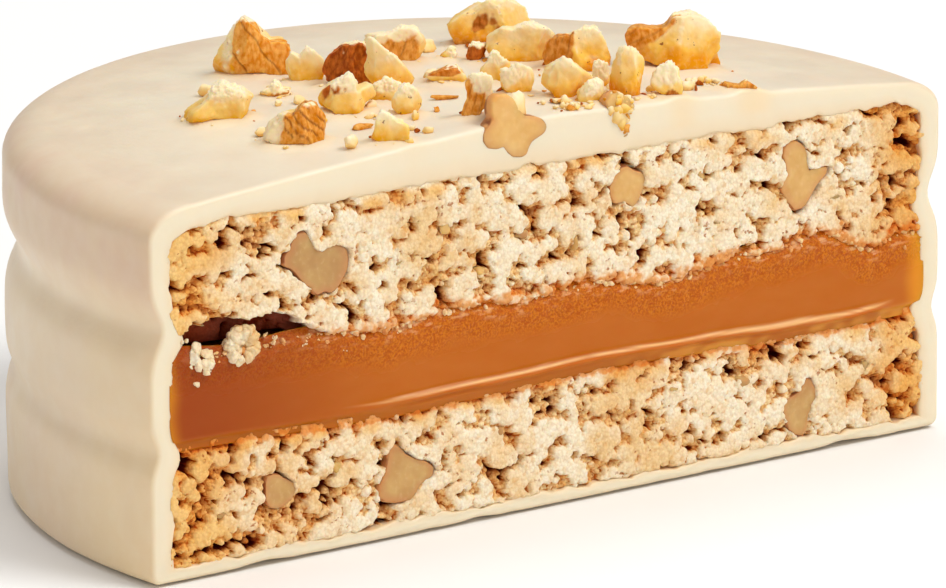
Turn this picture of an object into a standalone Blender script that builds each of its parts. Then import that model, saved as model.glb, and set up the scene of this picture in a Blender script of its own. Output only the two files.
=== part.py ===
"""Half of a white-coated walnut alfajor, cut across so that its layers show.

Blender 4.5, metres, +Z up. The piece stands on the floor at z = 0. The cut face runs
along X and looks along -Y, and the origin is under the middle of the piece's box.
Two walnut cookies hold a band of dulce de leche, a coating wraps all three, and
chopped walnut lies on top.
"""
import math

import bmesh
import bpy
from mathutils import Vector, noise

MM = 0.001

# The whole alfajor, and where the knife went through it.
RADIUS = 34.0 * MM
DEPTH_RATIO = 1.09
CUT_TO_AXIS = 6.5 * MM
DEPTH = CUT_TO_AXIS + RADIUS * DEPTH_RATIO
CUT_Y = -DEPTH / 2
AXIS_Y = CUT_Y + CUT_TO_AXIS
TURN_STEPS = 48

# Heights of the layers.
RIM_HEIGHT = 25.7 * MM
DOME_RISE = 1.7 * MM
COOKIE_TOP = 24.1 * MM
FILLING_TOP = 15.1 * MM
FILLING_BOTTOM = 8.9 * MM
COOKIE_BOTTOM = 1.1 * MM
COATING_BASE = 0.8 * MM

# The coating's shoulder, its side wall and its inside.
SHOULDER_WIDTH = 3.4 * MM
SHOULDER_DROP = 2.3 * MM
UPPER_WAIST = (17.4 * MM, 0.95 * MM, 1.7 * MM)
LOWER_WAIST = (9.0 * MM, 0.55 * MM, 1.2 * MM)
FOOT_TUCK = 0.5 * MM
INNER_RADIUS = 32.3 * MM
INNER_WAISTS = ((16.6 * MM, 0.8 * MM, 1.3 * MM), (8.7 * MM, 0.7 * MM, 1.0 * MM))

# Pieces that touch in the real thing keep this much room here.
GAP = 0.3 * MM

# Chopped walnut on top: x, distance behind the cut, width, depth, height, and the
# height of its ridge at five places across its width. Each faces the front left.
FACING = math.radians(-35.0)
CHUNKS = {
    "walnut_peak": (-8.5, 25.5, 5.4, 4.0, 4.0, (0.45, 0.95, 1.0, 0.62, 0.50)),
    "walnut_pale_back": (-7.6, 20.2, 2.6, 2.0, 2.5, (0.80, 0.90, 1.0, 0.95, 0.70)),
    "walnut_dark_skin": (-6.0, 16.9, 3.7, 2.4, 3.1, (0.55, 0.90, 1.0, 0.90, 0.60)),
    "walnut_slab": (-5.2, 13.5, 3.4, 1.8, 4.2, (0.80, 1.0, 0.90, 0.70, 0.45)),
    "walnut_tan_back": (1.0, 21.6, 4.2, 3.0, 2.6, (0.85, 0.90, 1.0, 0.95, 0.60)),
    "walnut_spotted": (-10.9, 10.4, 4.2, 3.0, 2.7, (0.35, 0.70, 1.0, 0.75, 0.60)),
    "walnut_striped": (-17.8, 6.6, 4.5, 3.4, 3.0, (0.35, 0.60, 0.90, 1.0, 0.60)),
    "walnut_left": (-18.0, 15.6, 5.0, 3.6, 2.8, (0.35, 0.70, 1.0, 0.80, 0.50)),
    "walnut_chip_left": (-11.8, 17.8, 2.2, 1.8, 1.4, (0.70, 1.0, 0.80, 0.60, 0.50)),
    "walnut_front_left": (-13.1, 1.8, 2.5, 1.8, 2.5, (0.70, 1.0, 0.90, 0.75, 0.70)),
    "walnut_pale_low": (-8.2, 7.0, 2.3, 1.6, 2.2, (0.50, 0.70, 1.0, 0.80, 0.60)),
    "walnut_behind": (-6.9, 11.0, 2.6, 1.6, 1.8, (0.80, 1.0, 0.90, 0.80, 0.60)),
    "walnut_flat_brown": (-0.3, 13.5, 2.9, 2.2, 1.2, (0.60, 0.90, 1.0, 0.90, 0.60)),
    "walnut_hump": (10.2, 23.1, 5.7, 4.4, 3.5, (0.60, 0.90, 1.0, 0.95, 0.80)),
    "walnut_chip_back": (4.2, 19.7, 1.4, 1.1, 1.1, (0.50, 0.80, 1.0, 1.0, 0.80)),
    "walnut_chip_dark": (5.4, 17.8, 1.5, 1.2, 1.4, (0.70, 1.0, 1.0, 0.90, 0.80)),
    "walnut_block": (7.9, 15.8, 4.7, 3.0, 2.9, (0.85, 1.0, 1.0, 0.90, 0.70)),
    "walnut_arch": (9.3, 11.2, 4.9, 3.4, 3.2, (0.65, 0.95, 1.0, 0.90, 0.80)),
    "walnut_point": (2.4, 11.4, 2.2, 1.7, 2.2, (0.60, 0.95, 1.0, 0.70, 0.60)),
    "walnut_knob": (1.4, 7.3, 2.3, 1.7, 2.3, (0.60, 0.80, 1.0, 1.0, 0.80)),
    "walnut_yellow": (3.4, 4.2, 3.7, 2.4, 2.9, (0.50, 0.85, 1.0, 0.80, 0.60)),
    "walnut_sliver": (7.2, 5.6, 1.3, 1.0, 2.1, (0.70, 0.90, 1.0, 1.0, 0.80)),
    "walnut_pale_front": (3.6, 1.9, 2.0, 1.3, 1.9, (0.50, 0.75, 0.95, 1.0, 0.90)),
    "walnut_tall": (7.0, 2.2, 2.5, 2.0, 3.7, (0.75, 0.95, 1.0, 0.95, 0.75)),
    "walnut_pale_right": (9.7, 1.2, 2.2, 1.6, 2.6, (0.80, 1.0, 0.95, 0.70, 0.50)),
    "walnut_saddle": (16.4, 9.4, 6.6, 5.0, 4.3, (0.60, 0.68, 0.80, 1.0, 0.85)),
    "walnut_flake_right": (15.6, 0.9, 2.6, 1.4, 1.0, (0.50, 0.80, 0.70, 1.0, 0.90)),
    "walnut_skin_front": (-5.2, 2.9, 2.0, 1.3, 3.0, (0.80, 1.0, 1.0, 0.90, 0.80)),
}
CHUNK_COLUMNS = 10
CHUNK_ROWS = 6
SECTION_COLUMNS = 18

# Walnut that the knife cut through: x, height of its middle, radius, depth, and lobes
# as (direction in degrees, extra reach, half width in degrees).
SECTION_SET_BACK = 0.25
SECTIONS = {
    "walnut_cut_heart": (
        -20.4, 20.4, 1.5, 2.4, ((150, 1.3, 24), (95, 0.5, 20), (28, 1.6, 22), (-75, 1.1, 30))),
    "walnut_cut_top_middle": (5.8, 21.6, 1.1, 1.8, ((50, 0.6, 35), (170, 0.6, 30), (-90, 0.3, 30))),
    "walnut_cut_fork": (
        20.6, 20.4, 1.1, 2.4, ((118, 1.7, 20), (38, 2.0, 20), (-100, 1.7, 24))),
    "walnut_cut_star": (
        -13.2, 4.4, 1.2, 2.0, ((105, 1.0, 20), (15, 1.3, 22), (-85, 0.8, 26), (195, 0.9, 26))),
    "walnut_cut_low_left": (-23.2, 5.1, 0.9, 1.4, ((150, 0.5, 30), (20, 0.3, 25), (-70, 0.5, 28))),
    "walnut_cut_low_right": (20.8, 3.2, 1.0, 1.8, ((65, 1.3, 26), (-15, 0.5, 25), (-120, 1.2, 30))),
}
# The two pieces that the coating holds at the top edge of the cut.
EDGE_SECTIONS = {
    "walnut_cut_clover": (
        -4.2, 27.3, 1.4, 2.0, ((112, 1.2, 22), (18, 1.7, 25), (-72, 1.0, 24), (200, 1.5, 26))),
    "walnut_cut_crumbly": (5.0, 26.9, 1.1, 0.8, ((80, 0.6, 35), (-70, 0.8, 32), (180, 0.3, 30))),
}

MATERIALS = {
    "coating": ((0.80, 0.70, 0.53), 0.42),
    "crumb": ((0.82, 0.61, 0.35), 0.85),
    "caramel": ((0.45, 0.13, 0.025), 0.25),
    "walnut": ((0.72, 0.44, 0.17), 0.55),
    "walnut_skin": ((0.30, 0.11, 0.035), 0.60),
}
SKIN_PIECES = ("walnut_dark_skin", "walnut_skin_front", "walnut_flake_right", "walnut_chip_dark",
               "walnut_flat_brown")


def clear_scene():
    for item in list(bpy.context.scene.objects):
        bpy.data.objects.remove(item, do_unlink=True)


def make_collection(name):
    collection = bpy.data.collections.new(name)
    bpy.context.scene.collection.children.link(collection)
    return collection


def make_material(name):
    colour, roughness = MATERIALS[name]
    material = bpy.data.materials.new(name)
    material.use_nodes = True
    shader = material.node_tree.nodes["Principled BSDF"]
    shader.inputs["Base Color"].default_value = (*colour, 1.0)
    shader.inputs["Roughness"].default_value = roughness
    shader.inputs["Metallic"].default_value = 0.0
    return material


def bump(value, centre, spread):
    return math.exp(-((value - centre) / spread) ** 2)


def polar(x, y):
    """Distance from the axis in the round's own measure, and the angle about it."""
    v = (y - AXIS_Y) / DEPTH_RATIO
    return math.hypot(x, v), math.atan2(v, x)


def unevenness(theta, z):
    """How far the round is out of true, as a factor on its radius."""
    slow = 0.0035 * math.sin(2 * theta + 0.6) + 0.0025 * math.sin(3 * theta - 1.0)
    lean = -0.012 * (z / RIM_HEIGHT) * max(math.cos(theta), 0.0) ** 4
    return 1 + slow + lean


def outer_radius(z):
    """Radius of the coating's side wall at height z: three swells and two waists."""
    waist = sum(depth * bump(z, height, spread) for height, depth, spread in (UPPER_WAIST, LOWER_WAIST))
    return RADIUS - waist - FOOT_TUCK * bump(z, 0.0, 1.0 * MM)


def inner_radius(z):
    return INNER_RADIUS - sum(depth * bump(z, height, spread) for height, depth, spread in INNER_WAISTS)


def top_height(x, y):
    """Height of the coating's top: a low dome, raised a little where nuts sit at the cut."""
    r, _ = polar(x, y)
    dome = RIM_HEIGHT + DOME_RISE * (1 - min(r / (RADIUS - SHOULDER_WIDTH), 1.0) ** 2)
    return dome + 0.35 * MM * bump(x, -3.0 * MM, 9 * MM) * bump(y, CUT_Y, 4 * MM)


def filling_bottom(x, y):
    wave = 0.22 * math.sin(x / (5.6 * MM) + 0.9) + 0.12 * math.sin(y / (4.3 * MM))
    return FILLING_BOTTOM + wave * MM


def filling_top(x, y):
    near = bump(y, CUT_Y, 7 * MM)
    dip = -0.8 * bump(x, 9 * MM, 7 * MM) + 0.9 * bump(x, 22 * MM, 2.6 * MM)
    dip += -1.2 * bump(x, 27 * MM, 2.0 * MM) + 0.25 * math.sin(x / (1.9 * MM))
    return FILLING_TOP + (0.3 * math.sin(y / (3.7 * MM) + x / (7 * MM)) + dip * near) * MM


def cookie_underside(x, y):
    """The upper cookie's underside: it lifts off the filling at the left end of the cut."""
    lift = 2.1 * MM / (1 + ((x / MM + 26.6) / 4.8) ** 6) * bump(y, CUT_Y, 6 * MM)
    return filling_top(x, y) + GAP + lift


def turned(name, profile, collection):
    """A closed turned body about the round's axis, from a profile of (radius, height)."""
    mesh = bpy.data.meshes.new(name)
    body = bmesh.new()
    points = [body.verts.new((r, 0.0, z)) for r, z in profile]
    edges = [body.edges.new(pair) for pair in zip(points, points[1:])]
    bmesh.ops.spin(body, geom=points + edges, axis=(0, 0, 1), cent=(0, 0, 0), angle=math.tau,
                   steps=TURN_STEPS, use_merge=True)
    bmesh.ops.remove_doubles(body, verts=body.verts, dist=1e-7)
    bmesh.ops.recalc_face_normals(body, faces=body.faces)
    body.to_mesh(mesh)
    body.free()
    item = bpy.data.objects.new(name, mesh)
    collection.objects.link(item)
    return item


def reshape(item, move):
    """Move each vertex of a mesh by a rule of its own place."""
    for vertex in item.data.vertices:
        vertex.co = move(vertex.co)
    item.data.update()


def coating_profile():
    """The outside of the coating: out over the dome, down the wall and under."""
    rim = RADIUS - SHOULDER_WIDTH
    outer = [(rim * k, top_height(rim * k, AXIS_Y)) for k in (0.0, 0.25, 0.48, 0.7, 0.87, 1.0)]
    for step in range(1, 5):
        angle = math.radians(90 * step / 4)
        z = RIM_HEIGHT - SHOULDER_DROP * (1 - math.cos(angle))
        outer.append((rim + SHOULDER_WIDTH * math.sin(angle), z))
    wall = [z * MM for z in (21.5, 19.4, 17.4, 15.4, 13.0, 10.8, 9.0, 7.2, 4.5, 2.0, 0.7, 0.0)]
    outer += [(outer_radius(z), z) for z in wall]
    return outer + [(RADIUS * 0.6, 0.0), (0.0, 0.0)]


def cavity_profile():
    """The room inside the coating, which the cookies and the filling take up."""
    roof = COOKIE_TOP + GAP
    heights = [z * MM for z in (2.0, 7.2, 8.7, 10.2, 15.0, 16.6, 18.2, 23.6)]
    wall = [(inner_radius(z), z) for z in heights]
    corner = 0.97 * INNER_RADIUS
    under = [(0.0, COATING_BASE), (0.5 * INNER_RADIUS, COATING_BASE), (corner, COATING_BASE)]
    return under + wall + [(corner, roof), (0.5 * INNER_RADIUS, roof), (0.0, roof)]


def make_coating(collection):
    shell = turned("coating", coating_profile(), collection)
    cavity = turned("coating_cavity", cavity_profile(), collection)

    def out_of_true(co):
        factor = unevenness(math.atan2(co.y, co.x), co.z)
        x, y = co.x * factor, AXIS_Y + co.y * factor * DEPTH_RATIO
        on_top = co.z > RIM_HEIGHT - 0.01 * MM
        return Vector((x, y, top_height(x, y) if on_top else co.z))

    reshape(shell, out_of_true)
    reshape(cavity, out_of_true)
    return shell, cavity


def make_layer(name, lower, upper, collection):
    """A layer of what the coating holds, between two uneven surfaces."""
    rings = (0.0, 0.3, 0.55, 0.72, 0.83, 0.92, 0.985)
    profile = [(r, 0.0) for r in rings] + [(1.0, 0.12), (1.0, 0.37), (1.0, 0.63), (1.0, 0.88)]
    profile += [(r, 1.0) for r in reversed(rings)]
    layer = turned(name, profile, collection)

    def settle(co):
        share = math.hypot(co.x, co.y)
        theta = math.atan2(co.y, co.x)
        x, y = co.x * INNER_RADIUS, AXIS_Y + co.y * INNER_RADIUS * DEPTH_RATIO
        z = lower(x, y) + co.z * (upper(x, y) - lower(x, y))
        radius = share * (inner_radius(z) - GAP) * unevenness(theta, z)
        return Vector((radius * math.cos(theta), AXIS_Y + radius * math.sin(theta) * DEPTH_RATIO, z))

    reshape(layer, settle)
    return layer


def make_knife(collection):
    """The block of space that the knife took away."""
    mesh = bpy.data.meshes.new("knife")
    block = bmesh.new()
    bmesh.ops.create_cube(block, size=1.0)
    side = 4 * RADIUS
    bmesh.ops.scale(block, vec=(side, side, side), verts=block.verts)
    bmesh.ops.translate(block, vec=(0, CUT_Y - side / 2, 0), verts=block.verts)
    block.to_mesh(mesh)
    block.free()
    knife = bpy.data.objects.new("knife", mesh)
    collection.objects.link(knife)
    return knife


def as_cutter(item, collection):
    for owner in list(item.users_collection):
        owner.objects.unlink(item)
    collection.objects.link(item)
    item.hide_render = True
    item.display_type = "WIRE"
    return item


def cut_away(item, cutter):
    modifier = item.modifiers.new("without_" + cutter.name, "BOOLEAN")
    modifier.operation = "DIFFERENCE"
    modifier.solver = "EXACT"
    modifier.object = cutter


def ball(name, columns, rows, collection):
    mesh = bpy.data.meshes.new(name)
    body = bmesh.new()
    bmesh.ops.create_uvsphere(body, u_segments=columns, v_segments=rows, radius=1.0)
    body.to_mesh(mesh)
    body.free()
    item = bpy.data.objects.new(name, mesh)
    collection.objects.link(item)
    return item


def ridge_height(ridge, across):
    """Height of a chunk's ridge, read between its stations; across runs from -1 to 1."""
    place = (across + 1) / 2 * (len(ridge) - 1)
    index = min(int(place), len(ridge) - 2)
    share = place - index
    return ridge[index] * (1 - share) + ridge[index + 1] * share


def make_chunk(name, collection):
    """A broken piece of walnut, blocky and ridged, that lies on the coating."""
    x, behind, width, depth, height, ridge = CHUNKS[name]
    centre = Vector((x * MM, CUT_Y + behind * MM, 0.0))
    chunk = ball(name, CHUNK_COLUMNS, CHUNK_ROWS, collection)
    seed = Vector((x, behind, height))

    def settle(co):
        flat = math.hypot(co.x, co.y)
        spread = flat ** 0.75 / flat if flat > 1e-6 else 0.0
        rough = 1 + 0.16 * noise.noise(co * 1.3 + seed)
        across = max(-1.0, min(1.0, co.x * spread))
        u = co.x * spread * rough * width / 2
        v = co.y * spread * rough * depth / 2
        rise = 0.5 + 0.5 * math.copysign(abs(co.z) ** 0.8, co.z)
        px = centre.x + (u * math.cos(FACING) - v * math.sin(FACING)) * MM
        py = centre.y + (u * math.sin(FACING) + v * math.cos(FACING)) * MM
        lift = rise * height * ridge_height(ridge, across) * MM * (1 + 0.3 * (rough - 1))
        return Vector((px, py, top_height(px, py) + GAP + lift))

    reshape(chunk, settle)
    return chunk


def make_section(name, spec, extra, collection):
    """A lobed piece of walnut about the cut, grown by extra all round."""
    x, height, radius, depth, lobes = spec
    piece = ball(name, SECTION_COLUMNS, CHUNK_ROWS, collection)

    def settle(co):
        angle = math.degrees(math.atan2(co.y, co.x))
        reach = radius + sum(more * bump((angle - direction + 180) % 360 - 180, 0.0, half_width)
                             for direction, more, half_width in lobes)
        flat = math.hypot(co.x, co.y)
        factor = (reach * MM + extra) * flat ** 0.5 / flat if flat > 1e-6 else 0.0
        back = (SECTION_SET_BACK - co.z) * depth * MM - math.copysign(extra, co.z)
        return Vector((x * MM + co.x * factor, CUT_Y + back, height * MM + co.y * factor))

    reshape(piece, settle)
    return piece


def finish(item, material):
    item.data.materials.clear()
    item.data.materials.append(material)


def main():
    clear_scene()
    parts = make_collection("alfajor_half")
    cutters = make_collection("cutters")
    materials = {name: make_material(name) for name in MATERIALS}
    knife = as_cutter(make_knife(cutters), cutters)

    coating, cavity = make_coating(parts)
    as_cutter(cavity, cutters)
    cut_away(coating, cavity)
    cut_away(coating, knife)
    finish(coating, materials["coating"])

    layers = {
        "cookie_bottom": (lambda x, y: COOKIE_BOTTOM, lambda x, y: filling_bottom(x, y) - GAP, "crumb"),
        "filling": (filling_bottom, filling_top, "caramel"),
        "cookie_top": (cookie_underside, lambda x, y: COOKIE_TOP, "crumb"),
    }
    solids = {"coating": coating}
    for name, (lower, upper, material) in layers.items():
        layer = make_layer(name, lower, upper, parts)
        cut_away(layer, knife)
        finish(layer, materials[material])
        solids[name] = layer

    for name, spec in {**SECTIONS, **EDGE_SECTIONS}.items():
        piece = make_section(name, spec, 0.0, parts)
        pocket = as_cutter(make_section(name + "_pocket", spec, GAP, parts), cutters)
        cut_away(piece, knife)
        finish(piece, materials["walnut"])
        if name in EDGE_SECTIONS:
            host = "coating"
        elif spec[1] * MM > FILLING_TOP:
            host = "cookie_top"
        else:
            host = "cookie_bottom"
        cut_away(solids[host], pocket)

    for name in CHUNKS:
        chunk = make_chunk(name, parts)
        finish(chunk, materials["walnut_skin" if name in SKIN_PIECES else "walnut"])


main()
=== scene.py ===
"""Looks of the half walnut alfajor: coating, crumb, caramel and chopped walnut.

Every length is in millimetres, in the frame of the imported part, until build_mesh
turns it into metres. The cut face runs along X and looks along -Y.
"""
import math

import bmesh
import bpy
import numpy as np
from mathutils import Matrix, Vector


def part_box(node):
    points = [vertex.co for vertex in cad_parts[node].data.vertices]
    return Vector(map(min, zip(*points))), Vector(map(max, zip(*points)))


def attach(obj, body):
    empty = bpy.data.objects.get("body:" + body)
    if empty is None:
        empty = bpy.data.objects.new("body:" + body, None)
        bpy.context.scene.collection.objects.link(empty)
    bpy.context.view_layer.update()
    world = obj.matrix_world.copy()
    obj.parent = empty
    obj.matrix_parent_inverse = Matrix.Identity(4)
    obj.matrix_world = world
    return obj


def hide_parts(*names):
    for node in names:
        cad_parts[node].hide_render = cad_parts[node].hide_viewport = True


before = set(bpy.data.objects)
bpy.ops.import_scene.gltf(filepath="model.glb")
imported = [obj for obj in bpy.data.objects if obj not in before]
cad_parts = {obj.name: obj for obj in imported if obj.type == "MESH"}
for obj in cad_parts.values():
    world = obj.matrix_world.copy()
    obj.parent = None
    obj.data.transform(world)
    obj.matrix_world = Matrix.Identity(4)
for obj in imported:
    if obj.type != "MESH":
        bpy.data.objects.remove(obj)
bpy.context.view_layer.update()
MM = 0.001

# Sizes of the round, as the part has them, and the cut plane from the frame.
CUT_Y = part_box("coating")[0].y / MM
RADIUS = 34.0
DEPTH_RATIO = 1.09
CUT_TO_AXIS = 6.5
AXIS_Y = CUT_Y + CUT_TO_AXIS
RIM_HEIGHT = 25.7
DOME_RISE = 1.7
COOKIE_TOP = 24.1
FILLING_TOP = 15.1
FILLING_BOTTOM = 8.9
COOKIE_BOTTOM = 1.1
SHOULDER_WIDTH = 3.4
SHOULDER_DROP = 2.3
UPPER_WAIST = (17.4, 0.95, 1.7)
LOWER_WAIST = (9.0, 0.55, 1.2)
INNER_RADIUS = 32.3
INNER_WAISTS = ((16.6, 0.8, 1.3), (8.7, 0.7, 1.0))
GAP = 0.3


# ---------------------------------------------------------------- noise

NOISE_TABLE = 256
noise_source = np.random.default_rng(11)
SHUFFLE = np.tile(noise_source.permutation(NOISE_TABLE), 2)
GRADIENTS = noise_source.normal(size=(NOISE_TABLE, 3))
GRADIENTS /= np.linalg.norm(GRADIENTS, axis=1)[:, None]


def noise(x, y, z):
    """Smooth gradient noise, from about -0.7 to 0.7, one step of its lattice per unit."""
    place = np.stack(np.broadcast_arrays(x, y, z), -1).astype(float)
    shape = place.shape[:-1]
    place = place.reshape(-1, 3)
    cell = np.floor(place).astype(int)
    part = place - cell
    cell &= NOISE_TABLE - 1
    fade = part ** 3 * (part * (part * 6 - 15) + 10)
    total = np.zeros(len(place))
    for corner in np.ndindex(2, 2, 2):
        corner = np.array(corner)
        near = (cell + corner) & (NOISE_TABLE - 1)
        index = SHUFFLE[SHUFFLE[SHUFFLE[near[:, 0]] + near[:, 1]] + near[:, 2]]
        weight = np.prod(np.where(corner == 1, fade, 1 - fade), axis=1)
        total += weight * np.sum(GRADIENTS[index] * (part - corner), axis=1)
    return total.reshape(shape)


def rough(x, y, z, octaves):
    """Noise with finer and fainter octaves added."""
    total = 0.0
    for octave in range(octaves):
        scale = 2.0 ** octave
        total = total + noise(x * scale + 17.3 * octave, y * scale, z * scale - 5.1 * octave) / scale
    return total


def bump(value, centre, spread):
    return np.exp(-((value - centre) / spread) ** 2)


def smooth_step(value, low, high):
    share = np.clip((value - low) / (high - low), 0.0, 1.0)
    return share * share * (3 - 2 * share)


# ---------------------------------------------------------------- meshes

def grid_faces(rows, columns, first=0):
    """Quads of a grid whose points are numbered row by row from first."""
    corner = first + np.arange(rows - 1)[:, None] * columns + np.arange(columns - 1)[None, :]
    corner = corner.ravel()
    return np.stack([corner, corner + 1, corner + columns + 1, corner + columns], 1)


def loop_faces(lower, upper):
    """Quads between two closed loops of the same length."""
    return np.stack([lower, np.roll(lower, -1), np.roll(upper, -1), upper], 1)


def signed_volume(points, faces):
    total = 0.0
    for group in faces:
        a = points[group[:, 0]]
        for k in range(1, group.shape[1] - 1):
            b, c = points[group[:, k]], points[group[:, k + 1]]
            total += np.einsum("ij,ij->", a, np.cross(b, c))
    return total / 6


def build_mesh(name, points, faces, values):
    """A smooth mesh object from points in mm, groups of faces, and named values per point."""
    points = np.asarray(points, float)
    if signed_volume(points, faces) < 0:
        faces = [group[:, ::-1] for group in faces]
    corners = np.concatenate([group.ravel() for group in faces]).astype(np.int32)
    sizes = np.concatenate([np.full(len(group), group.shape[1]) for group in faces])
    starts = np.concatenate([[0], np.cumsum(sizes)[:-1]]).astype(np.int32)
    mesh = bpy.data.meshes.new(name)
    mesh.vertices.add(len(points))
    mesh.vertices.foreach_set("co", (points * MM).astype(np.float32).ravel())
    mesh.loops.add(len(corners))
    mesh.loops.foreach_set("vertex_index", corners)
    mesh.polygons.add(len(sizes))
    mesh.polygons.foreach_set("loop_start", starts)
    mesh.polygons.foreach_set("use_smooth", np.ones(len(sizes), bool))
    mesh.update(calc_edges=True)
    for key, value in values.items():
        layer = mesh.attributes.new(key, "FLOAT", "POINT")
        layer.data.foreach_set("value", np.broadcast_to(value, len(points)).astype(np.float32))
    piece = bpy.data.objects.new(name, mesh)
    bpy.context.scene.collection.objects.link(piece)
    return piece


def dress(piece, material, slot, *nodes):
    """Give a piece its material and its body, and hide the CAD nodes that it stands for."""
    piece.data.materials.append(material)
    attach(piece, "root")
    if nodes:
        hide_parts(*nodes)
    return piece


# ---------------------------------------------------------------- the round's surfaces

def unevenness(theta, z):
    slow = 0.0035 * np.sin(2 * theta + 0.6) + 0.0025 * np.sin(3 * theta - 1.0)
    lean = -0.012 * (z / RIM_HEIGHT) * np.maximum(np.cos(theta), 0.0) ** 4
    return 1 + slow + lean


def waists(z, table):
    return sum(depth * bump(z, height, spread) for height, depth, spread in table)


def top_height(x, y):
    r = np.hypot(x, (y - AXIS_Y) / DEPTH_RATIO)
    dome = RIM_HEIGHT + DOME_RISE * (1 - np.minimum(r / (RADIUS - SHOULDER_WIDTH), 1.0) ** 2)
    return dome + 0.35 * bump(x, -3.0, 9.0) * bump(y, CUT_Y, 4.0)


def inner_half_width(side, y, z):
    """How far the inside of the coating reaches to one side at depth y and height z."""
    v = (y - AXIS_Y) / DEPTH_RATIO
    radius = INNER_RADIUS - waists(z, INNER_WAISTS)
    x = np.sqrt(np.maximum(radius ** 2 - v ** 2, 1.0))
    return np.sqrt(np.maximum((radius * unevenness(np.arctan2(v, side * x), z)) ** 2 - v ** 2, 1.0))


def filling_bottom(x, y):
    return FILLING_BOTTOM + 0.22 * np.sin(x / 5.6 + 0.9) + 0.12 * np.sin(y / 4.3)


def filling_top(x, y):
    near = bump(y, CUT_Y, 7.0)
    dip = -0.8 * bump(x, 9.0, 7.0) + 0.9 * bump(x, 22.0, 2.6)
    dip = dip - 1.2 * bump(x, 27.0, 2.0) + 0.25 * np.sin(x / 1.9)
    return FILLING_TOP + 0.3 * np.sin(y / 3.7 + x / 7.0) + dip * near


def cookie_underside(x, y):
    lift = 2.1 / (1 + ((x + 26.6) / 4.8) ** 6) * bump(y, CUT_Y, 1.8)
    return filling_top(x, y) + GAP + lift


# ---------------------------------------------------------------- coating

EDGE_ROUND = 0.35
COLUMNS = 320
TOP_ROWS = 84
SHOULDER_ROWS = 12
WALL_ROWS = 58
FOOT_RADIUS = 0.7
FOOT_ROWS = 5
FLOOR_ROWS = 6
COATING_INNER_TOP = 24.3
COATING_INNER_BOTTOM = 0.95
CORNER_DROP = 1.0


def end_angles(radius, z):
    """Where a ring of the wall meets the rounded edge of the cut, at the right and the left."""
    offset = CUT_TO_AXIS - EDGE_ROUND
    ends = []
    for start, sign in ((0.0, -1.0), (math.pi, 1.0)):
        theta = np.full(np.shape(z), start)
        for _ in range(6):
            reach = DEPTH_RATIO * radius * unevenness(theta, z)
            theta = start + sign * np.arcsin(np.clip(offset / reach, -1, 1))
        ends.append(theta)
    return ends


def wall_relief(x, y, z):
    """Soft swells that dipping and setting left on the side wall."""
    return 0.16 * noise(x / 7, y / 7, z / 6) + 0.05 * noise(x / 2.4, y / 2.4, z / 3.6)


def corner_drop(side):
    """How far the crumb's upper corners are rounded down; side runs from -1 to 1."""
    return CORNER_DROP * np.clip((np.abs(side) - 0.9) / 0.1, 0, 1) ** 2.2


def coating_rings():
    """Radius and height of each ring from the dome's rim down to the floor."""
    rim = RADIUS - SHOULDER_WIDTH
    rings = []
    for step in range(SHOULDER_ROWS + 1):
        angle = math.pi / 2 * step / SHOULDER_ROWS
        rings.append((rim + SHOULDER_WIDTH * math.sin(angle),
                      RIM_HEIGHT - SHOULDER_DROP * (1 - math.cos(angle))))
    start = RIM_HEIGHT - SHOULDER_DROP
    for step in range(1, WALL_ROWS + 1):
        rings.append((RADIUS, start + (FOOT_RADIUS - start) * step / WALL_ROWS))
    for step in range(1, FOOT_ROWS + 1):
        angle = math.pi / 2 * step / FOOT_ROWS
        rings.append((RADIUS - FOOT_RADIUS * (1 - math.cos(angle)), FOOT_RADIUS * (1 - math.sin(angle))))
    radius, z = np.array(rings).T
    below = np.clip((RIM_HEIGHT - z) / SHOULDER_DROP, 0, 1)
    return radius - below * waists(z, (UPPER_WAIST, LOWER_WAIST)), z


def coating_outside():
    """The coating's outside as one grid, from the cut's top edge over the wall to its lower edge."""
    radius, z = coating_rings()
    share = np.linspace(0, 1, COLUMNS)[None, :]
    radius, z = radius[:, None], z[:, None]
    right, left = end_angles(radius, z)
    theta = right + (left - right) * share
    reach = radius * unevenness(theta, z)
    swell = wall_relief(reach * np.cos(theta), reach * np.sin(theta), z)
    swell = swell * np.sin(math.pi * share) ** 0.3 * smooth_step(RIM_HEIGHT - z, 0.2, 3.0)
    reach = reach + swell
    ring_x = reach * np.cos(theta)
    ring_y = AXIS_Y + DEPTH_RATIO * reach * np.sin(theta)
    rim_lift = top_height(ring_x[0], ring_y[0]) - RIM_HEIGHT
    ring_z = z + rim_lift[None, :] * smooth_step(z, 2.0, RIM_HEIGHT)

    front_y = CUT_Y + EDGE_ROUND
    across = np.cos(math.pi * share[0])

    def cut_line(ring):
        return np.abs(across) * np.where(across > 0, ring[0], ring[-1])

    step = np.linspace(0, 1, TOP_ROWS)[:-1, None]
    top_x = cut_line(ring_x[0]) * (1 - step) + ring_x[0] * step
    top_y = front_y + (ring_y[0] - front_y) * step
    calm = (1 - step ** 4) * smooth_step(1 - np.abs(across), 0.0, 0.2)
    top_z = top_height(top_x, top_y) + 0.06 * noise(top_x / 6, top_y / 6, 0.4) * calm
    top_z = top_z + 0.30 * bump(np.maximum(nut_distance(top_x, top_y), 0.0), 0.0, 0.5)

    back = np.linspace(1, 0, FLOOR_ROWS)[1:, None]
    floor_x = cut_line(ring_x[-1]) * (1 - back) + ring_x[-1] * back
    floor_y = front_y + (ring_y[-1] - front_y) * back
    floor_z = np.zeros_like(floor_x)
    x, y, z = (np.concatenate(part) for part in zip((top_x, top_y, top_z), (ring_x, ring_y, ring_z),
                                                    (floor_x, floor_y, floor_z)))
    return np.stack([x, y, z + foot_dents(x, y) * smooth_step(z, 3.0, 0.4)], -1)


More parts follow.
